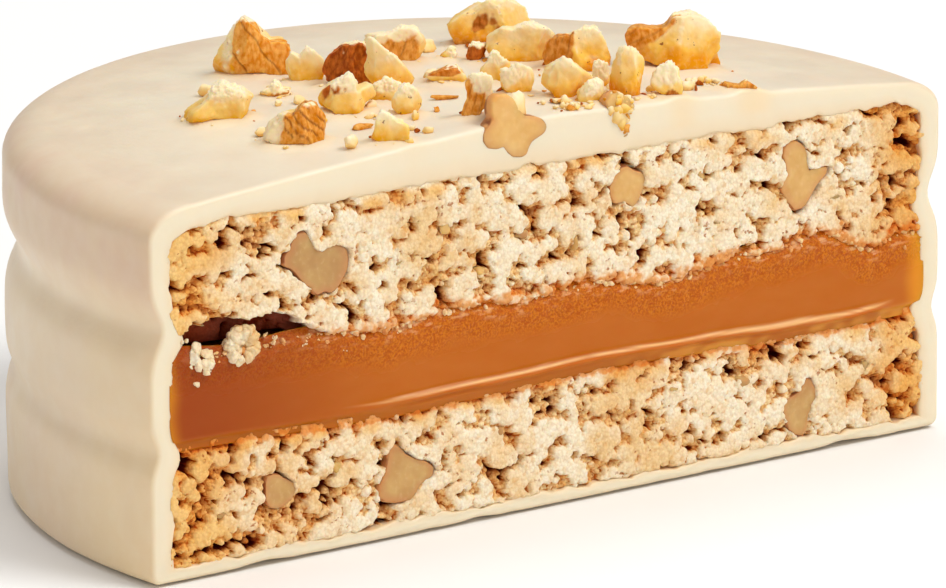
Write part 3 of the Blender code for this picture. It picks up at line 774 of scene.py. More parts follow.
# Seen from the front left, each piece's outline as (across from -1 to 1, up from 0 to 1),
# then flat faces as (turn, tilt, distance), froth and skin as (turn, tilt, reach), and tint.
# A turn of 0 faces the front left, 90 the right; a tilt of 90 faces up.
CHUNKS = {
    "walnut_peak": dict(
        outline=((-1, 0.1), (-0.95, 0.38), (-0.62, 0.62), (-0.38, 0.93), (-0.22, 1), (-0.05, 0.92),
                 (0.1, 0.8),
                 (0.33, 0.58), (0.5, 0.6), (0.68, 0.55), (0.85, 0.4), (1, 0.22), (0.88, 0), (-0.75, 0)),
        faces=((-55, 25, 0.55), (20, 22, 0.62)), froth=((-60, 0, 0.9),), skin=((32, 20, 0.15, 0.95),),
        tint=0.4, veins=(125, 1.7, 0.8)),
    "walnut_pale_back": dict(
        outline=((-1, 0.3), (-0.95, 0.6), (-0.6, 0.9), (-0.2, 0.75), (0.1, 1), (0.5, 0.85), (0.9, 0.7),
                 (1, 0.3),
                 (0.8, 0), (-0.8, 0.1)),
        faces=((10, 10, 0.7),), froth=((0, 80, 0.6),), skin=(), tint=0.2),
    "walnut_dark_skin": dict(
        outline=((-1, 0.05), (-0.9, 0.45), (-0.75, 0.7), (-0.3, 0.92), (0.15, 1), (0.45, 0.95), (0.6, 0.6),
                 (1, 0.3), (0.85, 0.1), (0.5, 0), (-0.5, 0)),
        faces=((-40, 20, 0.6), (30, 30, 0.62)), froth=(), skin=((-10, 20, -0.5, 0.12),), tint=0.6,
        veins=(55, 0.55, 1.0)),
    "walnut_slab": dict(
        outline=((-1, 0.75), (-0.85, 0.95), (-0.5, 1), (-0.2, 0.85), (0.3, 0.65), (0.6, 0.45), (0.85, 0.25),
                 (1, 0.1), (0.9, 0), (-0.2, 0), (-0.75, 0.35)),
        faces=((0, 25, 0.6),), froth=((60, 60, 0.6),), skin=(), tint=0.3),
    "walnut_tan_back": dict(
        outline=((-1, 0.6), (-0.9, 0.8), (-0.3, 0.85), (0.1, 1), (0.5, 0.95), (1, 0.75), (1, 0.45),
                 (0.75, 0.2),
                 (0.45, 0), (0, 0.05), (-0.5, 0.3)),
        faces=((10, 5, 0.55),), froth=((0, 85, 0.5), (-90, 20, 0.6)),
        skin=((0, 0, 0.55, 0.75), (0, -60, 0.75, 0.1)), tint=0.6,
        veins=(70, 0.7, 0.6)),
    "walnut_spotted": dict(
        outline=((-1, 0.55), (-0.6, 0.72), (-0.2, 0.85), (0.05, 1), (0.2, 0.93), (0.35, 0.6), (0.55, 0.75),
                 (0.8, 0.68), (1, 0.5), (0.9, 0.35), (0.6, 0.3), (0.45, 0.05), (0, 0), (-0.5, 0.05),
                 (-0.85, 0.25)),
        faces=((-10, 40, 0.6),), froth=((0, 80, 0.5),), skin=((-25, 30, 0.94, 0.15), (-75, 25, 0.96, 0.1)),
        tint=0.25),
    "walnut_striped": dict(
        outline=((-1, 0.1), (-0.85, 0.3), (-0.6, 0.55), (-0.3, 0.75), (-0.05, 0.75), (0.2, 1), (0.45, 0.95),
                 (0.75, 0.6), (0.9, 0.3), (1, 0.1), (0.6, 0), (-0.9, 0)),
        faces=((-20, 30, 0.55), (50, 20, 0.6)), froth=((-90, 0, 0.5),),
        skin=((30, 20, 0.30, 0.80), (50, -45, 0.80, 0.0)), tint=0.9, veins=(135, 0.50, 1.0)),
    "walnut_left": dict(
        outline=((-1, 0.22), (-0.6, 0.38), (-0.3, 0.6), (-0.2, 0.8), (0.05, 1), (0.2, 0.8), (0.5, 0.72),
                 (0.75, 0.5), (1, 0.35), (0.9, 0.1), (0.5, 0), (-0.4, 0), (-0.85, 0.08)),
        faces=((0, 35, 0.6),), froth=((0, 80, 0.4),), skin=(), tint=0.2),
    "walnut_chip_left": dict(
        outline=((-1, 0.2), (-0.7, 0.5), (-0.2, 0.7), (0, 1), (0.25, 0.85), (0.4, 0.55), (1, 0.5),
                 (0.7, 0.2),
                 (-0.4, 0)),
        faces=(), froth=((0, 80, 0.2),), skin=((40, -30, 0.6, 0.5),), tint=0.1),
    "walnut_front_left": dict(
        outline=((-0.9, 0), (-1, 0.15), (-0.85, 0.4), (-0.75, 0.8), (-0.5, 1), (-0.1, 0.85), (0.3, 0.65),
                 (0.7, 0.6), (0.9, 0.4), (1, 0.15), (0.6, 0)),
        faces=((-10, 25, 0.62),), froth=((0, 85, 0.6),), skin=(), tint=0.25),
    "walnut_pale_low": dict(
        outline=((-1, 0.45), (-0.6, 0.6), (-0.2, 0.95), (0.1, 1), (0.6, 0.85), (0.9, 0.55), (1, 0.3),
                 (0.5, 0),
                 (-0.2, 0.05), (-0.7, 0.25)),
        faces=((0, 30, 0.65),), froth=((0, 85, 0.4),), skin=((-60, 60, 0.85, 0.3),), tint=0.2),
    "walnut_behind": dict(
        outline=((-1, 0.2), (-0.7, 0.8), (-0.1, 1), (0.6, 0.8), (1, 0.4), (0.7, 0), (-0.7, 0)),
        faces=((0, 30, 0.65),), froth=((0, 85, 0.2),), skin=(), tint=0.2),
    "walnut_flat_brown": dict(
        outline=((-1, 0.5), (-0.6, 0.8), (0, 0.95), (0.4, 1), (0.6, 0.8), (1, 0.4), (0.9, 0.1), (0.4, 0),
                 (-0.3, 0.1), (-0.8, 0.3)),
        faces=((0, 10, 0.6),), froth=(), skin=((-20, 70, 0.45, 0.5),), tint=0.5),
    "walnut_hump": dict(
        outline=((-1, 0.45), (-0.9, 0.52), (-0.5, 0.75), (-0.2, 0.9), (0.1, 1), (0.35, 0.98), (0.6, 0.85),
                 (0.85, 0.78), (0.95, 0.75), (1, 0.6), (0.95, 0.35), (0.6, 0.1), (0.1, 0), (-0.75, 0),
                 (-0.9, 0.2)),
        faces=((-15, 15, 0.62), (45, 25, 0.66)), froth=(),
        skin=((-22, 8, 0.955, 0.3), (2, 3, 0.965, 0.3), (-40, -45, 0.82, 0.75)), tint=0.7,
        veins=(0, 0.5, 0.3)),
    "walnut_chip_back": dict(
        outline=((-1, 0.1), (-0.3, 0.5), (0.2, 0.9), (0.8, 1), (1, 0.6), (0.6, 0), (-0.5, 0)),
        faces=((0, 20, 0.6),), froth=((60, 40, 0.6),), skin=(), tint=0.25),
    "walnut_chip_dark": dict(
        outline=((-1, 0.1), (-0.9, 0.3), (-0.6, 0.7), (-0.5, 0.95), (0.2, 1), (0.9, 0.95), (1, 0.8),
                 (0.6, 0.4),
                 (0.2, 0.05), (-0.5, 0)),
        faces=(), froth=((0, 85, 0.5),), skin=((0, -30, -0.1, 0.15),), tint=0.4),
    "walnut_block": dict(
        outline=((-1, 0.35), (-0.95, 0.75), (-0.85, 0.88), (-0.3, 0.85), (0.1, 0.97), (0.5, 1), (0.85, 0.85),
                 (1, 0.6), (0.9, 0.25), (0.3, 0), (-0.4, 0), (-0.8, 0.15)),
        faces=((-10, 20, 0.6), (0, 65, 0.7)), froth=(), skin=(), tint=0.5),
    "walnut_arch": dict(
        outline=((-1, 0.1), (-0.97, 0.4), (-0.85, 0.65), (-0.6, 0.8), (-0.3, 0.82), (-0.2, 0.95), (0.1, 1),
                 (0.6, 0.95), (0.8, 0.8), (0.95, 0.6), (1, 0.4), (0.8, 0.2), (0.4, 0), (-0.8, 0)),
        faces=((-45, 10, 0.6), (20, 30, 0.62)), froth=((40, 80, 0.9),),
        skin=((-75, 10, 0.55, 0.7), (80, 0, 0.9, 0.3), (0, -70, 0.85, 0.2)), tint=0.85),
    "walnut_point": dict(
        outline=((-1, 0.4), (-0.6, 0.7), (-0.25, 1), (0, 0.95), (0.3, 0.75), (0.9, 0.65), (1, 0.45),
                 (0.7, 0.2),
                 (0.4, 0), (-0.5, 0), (-0.95, 0.15)),
        faces=((0, 20, 0.62),), froth=((0, 80, 0.4),), skin=(), tint=0.3),
    "walnut_knob": dict(
        outline=((-1, 0.5), (-0.7, 0.75), (-0.3, 0.8), (0, 1), (0.5, 0.95), (0.85, 0.8), (1, 0.5),
                 (0.8, 0.15),
                 (0.3, 0), (-0.2, 0.05), (-0.7, 0.25)),
        faces=((10, 10, 0.65),), froth=((-40, 60, 0.3),), skin=(), tint=0.3),
    "walnut_yellow": dict(
        outline=((-1, 0.55), (-0.6, 0.8), (-0.15, 1), (0.15, 0.92), (0.5, 0.72), (1, 0.5), (0.9, 0.3),
                 (0.5, 0.05),
                 (0.1, 0), (-0.4, 0.08), (-0.8, 0.3)),
        faces=((-10, 25, 0.58), (30, 60, 0.65)), froth=((0, 85, 0.8),), skin=(), tint=0.6),
    "walnut_sliver": dict(
        outline=((-0.8, 0.2), (-1, 0.5), (-0.6, 0.9), (0, 1), (0.7, 0.9), (1, 0.4), (0.6, 0), (-0.3, 0)),
        faces=((0, 10, 0.6),), froth=((0, 70, 0.2),), skin=(), tint=0.1),
    "walnut_pale_front": dict(
        outline=((-1, 0.15), (-0.6, 0.55), (0, 0.9), (0.6, 1), (1, 0.85), (1, 0.5), (0.6, 0.1), (0.2, 0),
                 (-0.7, 0)),
        faces=((-20, 30, 0.6),), froth=((0, 60, 0.4),), skin=(), tint=0.05),
    "walnut_tall": dict(
        outline=((-1, 0.15), (-0.9, 0.55), (-0.75, 0.85), (-0.3, 1), (0.3, 0.98), (0.8, 0.85), (1, 0.6),
                 (0.95, 0.3), (0.8, 0.05), (0.3, 0), (-0.7, 0)),
        faces=((-5, 15, 0.6), (60, 20, 0.7)), froth=((0, 85, 0.75),), skin=(), tint=0.95),
    "walnut_pale_right": dict(
        outline=((-1, 0.4), (-0.7, 0.7), (-0.5, 0.92), (0.1, 1), (0.5, 0.8), (0.7, 0.5), (1, 0.15), (0.7, 0),
                 (0, 0.05), (-0.6, 0.2)),
        faces=((0, 25, 0.62),), froth=((0, 70, 0.3),), skin=((20, -60, 0.7, 0.3),), tint=0.05),
    "walnut_saddle": dict(
        outline=((-1, 0.35), (-0.85, 0.55), (-0.6, 0.72), (-0.35, 0.72), (-0.1, 0.78), (0, 0.95), (0.25, 1),
                 (0.5, 0.9), (0.75, 0.75), (0.85, 0.55), (0.95, 0.3), (1, 0.05), (0.6, 0), (0, 0.02),
                 (-0.5, 0.2)),
        faces=((-25, 25, 0.6), (40, 15, 0.62)), froth=((60, 80, 0.9),), skin=((-80, 45, 0.55, 0.85),),
        tint=0.7, veins=(30, 0.6, 0.4)),
    "walnut_flake_right": dict(
        outline=((-1, 0.3), (-0.5, 0.75), (0.1, 0.6), (0.35, 1), (0.8, 0.9), (1, 0.55), (0.6, 0.15),
                 (-0.3, 0.1)),
        faces=(), froth=(), skin=((0, 60, -0.2, 0.8),), tint=0.5),
    "walnut_skin_front": dict(
        outline=((-0.6, 0), (-1, 0.15), (-0.6, 0.45), (-0.55, 0.65), (-0.8, 0.85), (-0.3, 1), (0.3, 1),
                 (0.9, 0.9),
                 (1, 0.4), (0.3, 0.2), (-0.1, 0)),
        faces=((-10, 10, 0.6),), froth=((60, 60, 0.5),), skin=((-30, 0, 0.15, 0.85), (-80, 0, 0.85, 0.1)),
        tint=0.6),
}
LARGE_CHUNK = 4.4
RANDOM_CUTS = 12
SHARPNESS = 40.0


def unit_ball(subdivisions):
    body = bmesh.new()
    bmesh.ops.create_icosphere(body, subdivisions=subdivisions, radius=1.0)
    points = np.array([vertex.co for vertex in body.verts])
    faces = np.array([[vertex.index for vertex in face.verts] for face in body.faces])
    body.free()
    return points, faces


def aim(turn, tilt):
    """Unit direction for a turn from the viewer's side and a tilt upwards, in degrees."""
    a, t = math.radians(turn), math.radians(tilt)
    return np.array([math.sin(a) * math.cos(t), -math.cos(a) * math.cos(t), math.sin(t)])


def random_direction(rng):
    direction = rng.normal(size=3)
    return direction / np.linalg.norm(direction)


def spread(values):
    """Values moved and scaled to run from -0.5 to 0.5."""
    return (values - values.min()) / np.ptp(values) - 0.5


def footprint(node):
    """Width and depth of a chunk about its own facing, from its box."""
    low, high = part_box(node)
    wide, deep = (high.x - low.x) / MM, (high.y - low.y) / MM
    c, s = math.cos(FACING) ** 2, math.sin(FACING) ** 2
    width = math.sqrt(max((wide ** 2 * c - deep ** 2 * s) / (c * c - s * s), 0.3))
    depth = math.sqrt(max((deep ** 2 * c - wide ** 2 * s) / (c * c - s * s), 0.3))
    return width, depth


def vein_lines(x, z, slant, spacing, seed):
    """Thin wandering lines across a skin, 1 on a line and 0 between them."""
    turned = x * math.sin(math.radians(slant)) - z * math.cos(math.radians(slant))
    place = (turned + 0.40 * noise(x / 1.6, seed, z / 1.6) + 0.05 * noise(x / 0.5, seed + 2,
            z / 0.5)) / spacing
    line = smooth_step(spacing * np.abs(place - np.round(place)), 0.10, 0.02)
    return line * smooth_step(noise(x / 1.1, seed + 5, z / 1.1), -0.25, 0.05)


def make_chunk(node, number, material):
    spec = CHUNKS[node]
    width, depth = footprint(node)
    low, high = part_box(node)
    tall = (high.z - low.z) / MM
    ball, faces = unit_ball(6 if width > LARGE_CHUNK else 5)
    rng = np.random.default_rng(100 + number)
    seed = number * 7.7
    hub = np.array([0.0, 0.42])
    angle, reach = outline_reach(np.array(spec["outline"]), hub)
    u, v, w = ball.T
    flat = np.hypot(u, w)
    heading = np.arctan2(w, u)
    profile = np.interp(heading, angle, reach, period=math.tau)
    profile = profile * (1 + 0.035 * noise(heading * 4, seed, 0.5) + 0.02 * noise(heading * 11, seed, 3.5))
    limits = [((flat / profile) ** 4.0 + np.abs(v) ** 4.0) ** (1 / 4.0)]
    for turn, tilt, distance in spec["faces"]:
        limits.append(np.maximum(ball @ aim(turn, tilt), 0) / distance)
    for _ in range(RANDOM_CUTS):
        limits.append(np.maximum(ball @ random_direction(rng), 0) / rng.uniform(0.62, 0.90))
    limits = np.sort(limits, axis=0)
    ridge = smooth_step(limits[-2] / limits[-1], 0.92, 0.99)
    radius = (limits ** SHARPNESS).sum(axis=0) ** (-1 / SHARPNESS)
    for _ in range(3):
        radius = radius * (1 - 0.16 * smooth_step(ball @ random_direction(rng), 0.80, 0.96))

    x = spread(radius * u) * width
    y = spread(radius * v) * depth
    z = (spread(radius * w) + 0.5) * tall
    rise = np.clip(z / tall, 0, 1)
    ragged = 0.30 * noise(x / 0.8, y / 0.8 + seed, z / 0.8) + 0.20 * noise(x / 0.35, y / 0.35,
            z / 0.35 + seed)
    froth = 0.8 * smooth_step(rise + ragged, 0.86, 1.02)
    for turn, tilt, reach in spec["froth"]:
        froth = np.maximum(froth, smooth_step(ball @ aim(turn, tilt) + ragged, reach - 0.10, reach + 0.15))
    skin, tone = np.zeros(len(ball)), np.zeros(len(ball))
    for turn, tilt, reach, shade in spec["skin"]:
        facing = ball @ aim(turn, tilt) + 0.14 * rough(x / 1.1, y / 1.1, z / 1.1 + seed, 3)
        patch = smooth_step(facing, reach - 0.02, reach + 0.03)
        tone = np.where(patch > skin, shade, tone)
        skin = np.maximum(skin, patch)
    skin *= 1 - smooth_step(froth, 0.3, 0.8)
    froth = np.maximum(froth, 0.8 * (1 - skin) * ridge * smooth_step(rise + 2 * ragged, 0.45, 0.85))
    slant, spacing, strength = spec.get("veins", (75, 0.5, 0.5))
    vein = strength * vein_lines(x, z, slant, spacing, seed)
    swell = 0.15 * noise(x / 1.5, y / 1.5 + seed, z / 1.5) + 0.12 * noise(x / 0.6, y / 0.6, z / 0.6 + seed)
    crease = -np.abs(noise(x / 1.2, y / 1.2 + seed, z / 1.2 + 4.0))
    foam = np.abs(noise(x / 0.34, y / 0.34, z / 0.34 + seed)) + 0.6 * np.abs(noise(x / 0.17, y / 0.17,
            z / 0.17))
    push = swell + 0.16 * crease + froth * (0.32 * foam - 0.06) - skin * 0.04 * vein
    chips = noise(x / 0.30, y / 0.30, z / 0.30 + seed)
    push = push + (1 - froth) * 0.035 * noise(x / 0.22, y / 0.22, z / 0.22) + 0.12 * ridge * chips
    x, y, z = x + u * push, y + v * push, z + w * push
    middle_x, middle_y = (low.x + high.x) / 2 / MM, (low.y + high.y) / 2 / MM
    px = middle_x + x * math.cos(FACING) - y * math.sin(FACING)
    py = middle_y + x * math.sin(FACING) + y * math.cos(FACING)
    ground = top_height(px, py) - 0.12
    pz = np.maximum(ground + z * 1.04 + 0.05, ground)
    values = {"froth": froth, "skin": skin, "tone": tone, "vein": vein * skin, "rise": rise,
              "tint": spec["tint"]}
    piece = build_mesh(node + "_kernel", np.stack([px, py, pz], -1), [faces], values)
    return dress(piece, material, "walnut_skin" if skin.mean() > 0.35 else "walnut", node)


# ---------------------------------------------------------------- crumbs, flakes and other small pieces

# Loose pieces on the coating: x, distance behind the cut, then width, depth and height in mm, turn in degrees, and kind.
LOOSE_PIECES = (
    (-16.0, 2.5, 1.4, 1.0, 1.2, 20, "pale"), (-12.5, 6.0, 1.9, 0.8, 0.5, -20, "flake"),
    (-8.5, 5.5, 0.7, 0.4, 1.0, 10, "orange"), (-13.5, 3.5, 0.5, 0.4, 0.35, 0, "dark"),
    (-0.5, 15.0, 1.3, 1.0, 0.9, 0, "pale"), (0.8, 14.5, 1.0, 0.8, 0.8, 40, "orange"),
    (-3.5, 9.0, 2.5, 0.7, 0.5, -25, "flake"), (-6.0, 6.5, 0.9, 0.5, 0.5, 30, "flake"),
    (-3.3, 0.7, 2.3, 1.5, 2.6, 10, "pale"), (-4.8, 0.5, 1.2, 0.9, 1.1, 30, "orange"),
    (-10.0, 2.0, 1.0, 0.7, 0.6, -30, "pale"), (-10.5, 2.5, 0.5, 0.4, 0.4, 0, "dark"),
    (-12.5, 0.6, 0.9, 0.7, 0.6, 15, "orange"), (7.0, 27.0, 1.1, 0.6, 0.5, -35, "flake"),
    (5.0, 23.5, 1.6, 1.3, 1.2, 0, "pale"), (12.5, 2.5, 1.3, 0.9, 0.8, 0, "pale"),
    (13.3, 3.0, 0.8, 0.7, 0.6, 50, "pale"), (12.8, 2.0, 0.35, 0.3, 0.6, 0, "dark"),
    (10.0, 1.5, 0.9, 0.7, 0.7, 0, "orange"), (10.8, 1.4, 0.6, 0.5, 0.5, 0, "dark"),
    (9.3, 2.5, 1.0, 0.8, 0.8, 20, "orange"), (3.5, 2.5, 1.1, 0.9, 0.7, 0, "pale"),
    (2.0, 2.5, 1.0, 0.8, 0.8, 35, "pale"), (2.5, 0.5, 0.9, 0.7, 0.5, 0, "pale"),
    (1.0, 0.6, 0.9, 0.6, 0.5, -20, "flake"), (1.4, 0.5, 0.6, 0.5, 0.5, 0, "orange"),
    (-11.5, 17.0, 1.2, 0.9, 0.8, 0, "pale"), (-11.5, 15.0, 1.1, 0.9, 0.8, 30, "pale"),
    (-13.0, 15.5, 0.7, 0.5, 0.5, 0, "pale"), (-17.5, 10.5, 0.6, 0.5, 0.4, 0, "dark"),
    (-18.5, 9.5, 1.1, 0.9, 0.8, 0, "pale"), (0.5, 8.0, 0.8, 0.5, 0.6, 0, "dark"),
    (6.0, 8.5, 0.9, 0.6, 0.7, 30, "dark"), (5.0, 8.0, 0.8, 0.7, 0.6, 0, "pale"),
    (8.5, 13.5, 1.0, 0.8, 0.9, 0, "dark"), (-9.0, 10.0, 1.3, 1.0, 0.8, 15, "pale"),
    (-14.5, 22.0, 1.5, 1.1, 1.1, 0, "pale"), (5.5, 17.0, 0.9, 0.7, 0.6, 0, "flake"),
    (-13.5, 9.5, 1.1, 0.8, 0.7, 0, "orange"), (-10.5, 8.0, 0.9, 0.7, 0.5, 0, "pale"),
)
KINDS = {"pale": (0.3, 0.25, 0.0, 0.0), "orange": (0.9, 0.0, 0.0, 0.0), "flake": (0.6, 0.0, 1.0, 0.85),
         "dark": (0.6, 0.0, 1.0, 0.1)}
GRAINS_A_NUT = 14
# Drifts of fine walnut debris: x, distance behind the cut, reach and count.
DRIFTS = (
    (6.5, 2.0, 1.6, 60), (9.0, 1.6, 1.0, 30), (12.0, 3.2, 1.1, 40), (14.8, 3.6, 1.2, 30),
    (7.8, 5.5, 1.2, 30),
    (2.0, 3.5, 1.1, 25), (-2.0, 6.0, 1.3, 20), (-9.5, 8.0, 1.2, 16), (-12.0, 3.5, 1.2, 14),
    (1.5, 1.2, 0.9, 20),
)


def lumpy(ball, rng, cuts, seed, rugged):
    """Unit ball points turned into an irregular broken piece."""
    total = np.ones(len(ball))
    for _ in range(cuts):
        total += (np.maximum(ball @ random_direction(rng), 0) / rng.uniform(0.45, 0.85)) ** SHARPNESS
    radius = total ** (-1 / SHARPNESS)
    x, y, z = (ball * radius[:, None]).T
    radius = radius * (1 + rugged * (noise(x * 1.6 + seed, y * 1.6, z * 1.6) + 0.5 * noise(x * 4,
            y * 4 + seed, z * 4)))
    return ball * radius[:, None]


def make_bits(name, bits, subdivisions, rugged, material, slot, *nodes):
    """One mesh of many small broken pieces: (place, size, turn, {value name: value}) each."""
    ball, faces = unit_ball(subdivisions)
    rng = np.random.default_rng(len(bits) + 3)
    points, groups, values = [], [], {}
    for number, (place, size, turn, facts) in enumerate(bits):
        shape = lumpy(ball, rng, 9, number * 3.3, rugged) * np.array(size) / 2
        c, s = math.cos(math.radians(turn)), math.sin(math.radians(turn))
        turned = np.stack([shape[:, 0] * c - shape[:, 1] * s, shape[:, 0] * s + shape[:, 1] * c,
                           shape[:, 2]], -1)
        points.append(turned + np.array(place))
        groups.append(faces + number * len(ball))
        facts = dict(facts, rise=np.clip(0.5 + shape[:, 2] / size[2], 0, 1))
        for key, value in facts.items():
            values.setdefault(key, []).append(np.broadcast_to(value, len(ball)))
    piece = build_mesh(name, np.concatenate(points), groups,
                       {key: np.concatenate(v) for key, v in values.items()})
    return dress(piece, material, slot, *nodes)


def kind_facts(kind):
    tint, froth, skin, tone = KINDS[kind]
    return {"tint": tint, "froth": froth, "skin": skin, "tone": tone, "vein": 0.0}


def crumbly_lobes(node):
    """The lobes of a crumbly piece of walnut, heaped inside its outline on the cut."""
    rng = np.random.default_rng(17)
    cx, cz, angle, reach = section_outline(node)
    bits = []
    for _ in range(100):
        turn = rng.uniform(-math.pi, math.pi)
        share = math.sqrt(rng.random())
        away = share * np.interp(turn, angle, reach, period=math.tau)
        lobe = rng.uniform(0.6, 1.5) * (1.2 - 0.7 * share)
        place = cx + away * math.cos(turn), CUT_Y + 0.12 + 0.3 * rng.random(), cz + away * math.sin(turn)
        facts = kind_facts(rng.choice(("pale", "orange", "flake"), p=(0.35, 0.58, 0.07)))
        bits.append((place, lobe * rng.uniform(0.7, 1.2, 3), rng.uniform(0, 180), facts))
    return bits


def loose_walnut():
    """Places and sizes of the listed loose pieces and of the grains round each chopped nut."""
    pieces = []
    for x, behind, width, depth, height, turn, kind in LOOSE_PIECES:
        y = CUT_Y + behind
        z = top_height(x, y) + 0.32 * height
        pieces.append(((x, y, z), (width, depth, height), turn, kind_facts(kind)))
    grains = []
    rng = np.random.default_rng(8)
    for node in CHUNKS:
        low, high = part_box(node)
        width, depth = footprint(node)
        for _ in range(GRAINS_A_NUT):
            angle = rng.uniform(0, math.tau)
            away = 0.46 + rng.exponential(0.075)
            along, across = away * width * math.cos(angle), away * depth * math.sin(angle)
            x = (low.x + high.x) / 2 / MM + along * math.cos(FACING) - across * math.sin(FACING)
            y = (low.y + high.y) / 2 / MM + along * math.sin(FACING) + across * math.cos(FACING)
            size = 0.16 + 0.62 * rng.random() ** 3
            kind = rng.choice(("pale", "pale", "orange", "flake", "dark"), p=(0.35, 0.2, 0.2, 0.1, 0.15))
            if y < CUT_Y + 0.8:
                continue
            shape = (size, size * rng.uniform(0.5, 1.0), size * rng.uniform(0.25, 0.8))
            grains.append(((x, y, top_height(x, y) + 0.3 * size), shape, rng.uniform(0, 180),
                           kind_facts(kind)))
    for middle, behind, reach, count in DRIFTS:
        for x, y in rng.normal((middle, CUT_Y + behind), (0.6 * reach, 0.4 * reach), (count, 2)):
            if y < CUT_Y + 0.6:
                continue
            size = 0.20 + 0.60 * rng.random() ** 2
            kind = rng.choice(("pale", "orange", "flake", "dark"), p=(0.55, 0.25, 0.1, 0.1))
            shape = (size, size * rng.uniform(0.6, 1.0), size * rng.uniform(0.5, 1.0))
            grains.append(((x, y, top_height(x, y) + 0.25 * size), shape, rng.uniform(0, 180),
                           kind_facts(kind)))
    return pieces, grains


# Crumb pieces that fell into the gap over the filling: x, z, width, height and number of lobes.
GAP_CRUMBS = (
    (-29.5, 14.4, 2.4, 3.6, 30), (-26.1, 15.2, 3.2, 3.3, 34), (-30.9, 16.6, 0.9, 0.8, 6),
    (-23.9, 15.5, 1.2, 0.9, 8),
)
# Bits of walnut that show in the crumb: x, z, width and height in mm.
CRUMB_NUTS = (
    (23.7, 18.6, 2.6, 1.8), (16.0, 6.1, 2.2, 1.4), (-9.8, 21.0, 1.2, 1.0), (-3.4, 19.6, 1.3, 0.8),
    (1.2, 18.3, 1.0, 1.3),
    (11.9, 21.6, 1.2, 0.9), (-13.7, 19.2, 0.9, 0.8), (13.4, 18.0, 1.4, 0.9), (-18.6, 5.6, 1.1, 0.9),
    (-5.2, 6.0, 1.3, 0.8),
    (4.4, 4.2, 1.1, 0.9), (9.6, 6.6, 1.2, 0.8), (27.0, 5.4, 1.3, 1.0), (-28.0, 4.0, 1.2, 1.1),
    (-6.8, 17.6, 0.9, 0.7),
)
STUCK_GRAINS = 700
# Pale streaks smeared into the caramel's upper band: x, distance below its top, length and height.
SMEARS = (
    (-24.0, 0.9, 1.3, 0.22), (-21.0, 0.5, 1.0, 0.25), (-17.5, 1.0, 1.6, 0.24), (-11.0, 0.7, 1.2, 0.22),
    (-8.8, 0.9, 1.9, 0.26), (-3.5, 0.5, 1.0, 0.22), (8.0, 0.4, 1.1, 0.22), (17.5, 0.6, 1.5, 0.24),
    (20.5, 0.9, 1.0, 0.20),
)


def crumb_facts(toast, soak, shade):
    return {"ground": 0.05, "deep": 0.0, "hollow_shade": 0.0, "crevice_shade": 0.0, "toast": toast, "soak": soak,
            "shade": shade}


def fallen_crumbs():
    """The lobes that each fallen crumb is heaped up from."""
    rng = np.random.default_rng(31)
    bits = []
    for x, z, width, height, lobes in GAP_CRUMBS:
        middle = np.array([x, CUT_Y + 0.45, z])
        size = np.array([width, 1.5, height])
        for _ in range(lobes):
            direction = random_direction(rng)
            lobe = rng.uniform(0.26, 0.46) * min(width, height)
            place = middle + direction * (size - 0.8 * lobe) / 2
            shape = lobe * rng.uniform(0.75, 1.15, 3)
            facts = crumb_facts(rng.uniform(0.1, 0.45), 0.0, rng.uniform(0.6, 0.95))
            bits.append((place, shape, rng.uniform(0, 180), facts))
    return bits


def crumb_nuts():
    bits = []
    for number, (x, z, width, height) in enumerate(CRUMB_NUTS):
        place = (x, CUT_Y + 0.42, z)
        bits.append((place, (width, 1.0, height), 0,
                     {"rim": 0.3 + 0.5 * (number % 2), "bright": (number % 3) / 3}))
    return bits


def stuck_grains():
    """Grains of crumb caught in the caramel along its upper edge, and pale streaks below it."""
    rng = np.random.default_rng(21)
    bits = []
    for _ in range(STUCK_GRAINS):
        x = rng.uniform(-29.5, 31.0)
        crowd = noise(np.array([x / 1.6]), 3.0, 7.0)[0]
        if crowd < rng.uniform(-0.35, 0.35):
            continue
        z = filling_top(x, CUT_Y) + 0.15 - rng.exponential(0.25 + 0.6 * max(crowd, 0.0))
        size = 0.14 + 0.50 * rng.random() ** 2
        shape = size * rng.uniform(0.7, 1.6), 0.8 * size, size * rng.uniform(0.7, 1.1)
        facts = crumb_facts(rng.uniform(0.3, 0.8), rng.choice((0.0, 0.3, 0.9)), rng.uniform(0.45, 0.9))
        facts["ground"] = rng.uniform(0.05, 0.25)
        bits.append(((x, CUT_Y + 0.24 + 0.25 * rng.random(), z), shape, rng.uniform(0, 180), facts))
    for x, below, length, height in SMEARS:
        for step in range(6):
            place = x + (step - 2.5) / 6 * length
            z = filling_top(place, CUT_Y) - below + rng.normal(0, 0.06)
            shape = length / 3, 0.3, 1.4 * height * rng.uniform(0.6, 1.3)
            bits.append(((place, CUT_Y + 0.27, z), shape, 0, crumb_facts(0.25, 0.45, rng.uniform(0.3, 0.7))))
    return bits


# ---------------------------------------------------------------- materials

def new_material(name, roughness, scatter=0.0, scatter_reach=(1.0, 0.5, 0.25), scatter_scale=1.0):
    """A material with a Principled shader; returns it with its node tree and shader."""
    material = bpy.data.materials.new(name)
    material.use_nodes = True
    tree = material.node_tree
    shader = tree.nodes["Principled BSDF"]
    shader.inputs["Roughness"].default_value = roughness
    shader.inputs["Subsurface Weight"].default_value = scatter
    shader.inputs["Subsurface Radius"].default_value = scatter_reach
    shader.inputs["Subsurface Scale"].default_value = scatter_scale * MM
    return material, tree, shader


def attribute(tree, name):
    item = tree.nodes.new("ShaderNodeAttribute")
    item.attribute_name = name
    return item.outputs["Fac"]


def coordinates(tree):
    return tree.nodes.new("ShaderNodeTexCoord").outputs["Object"]


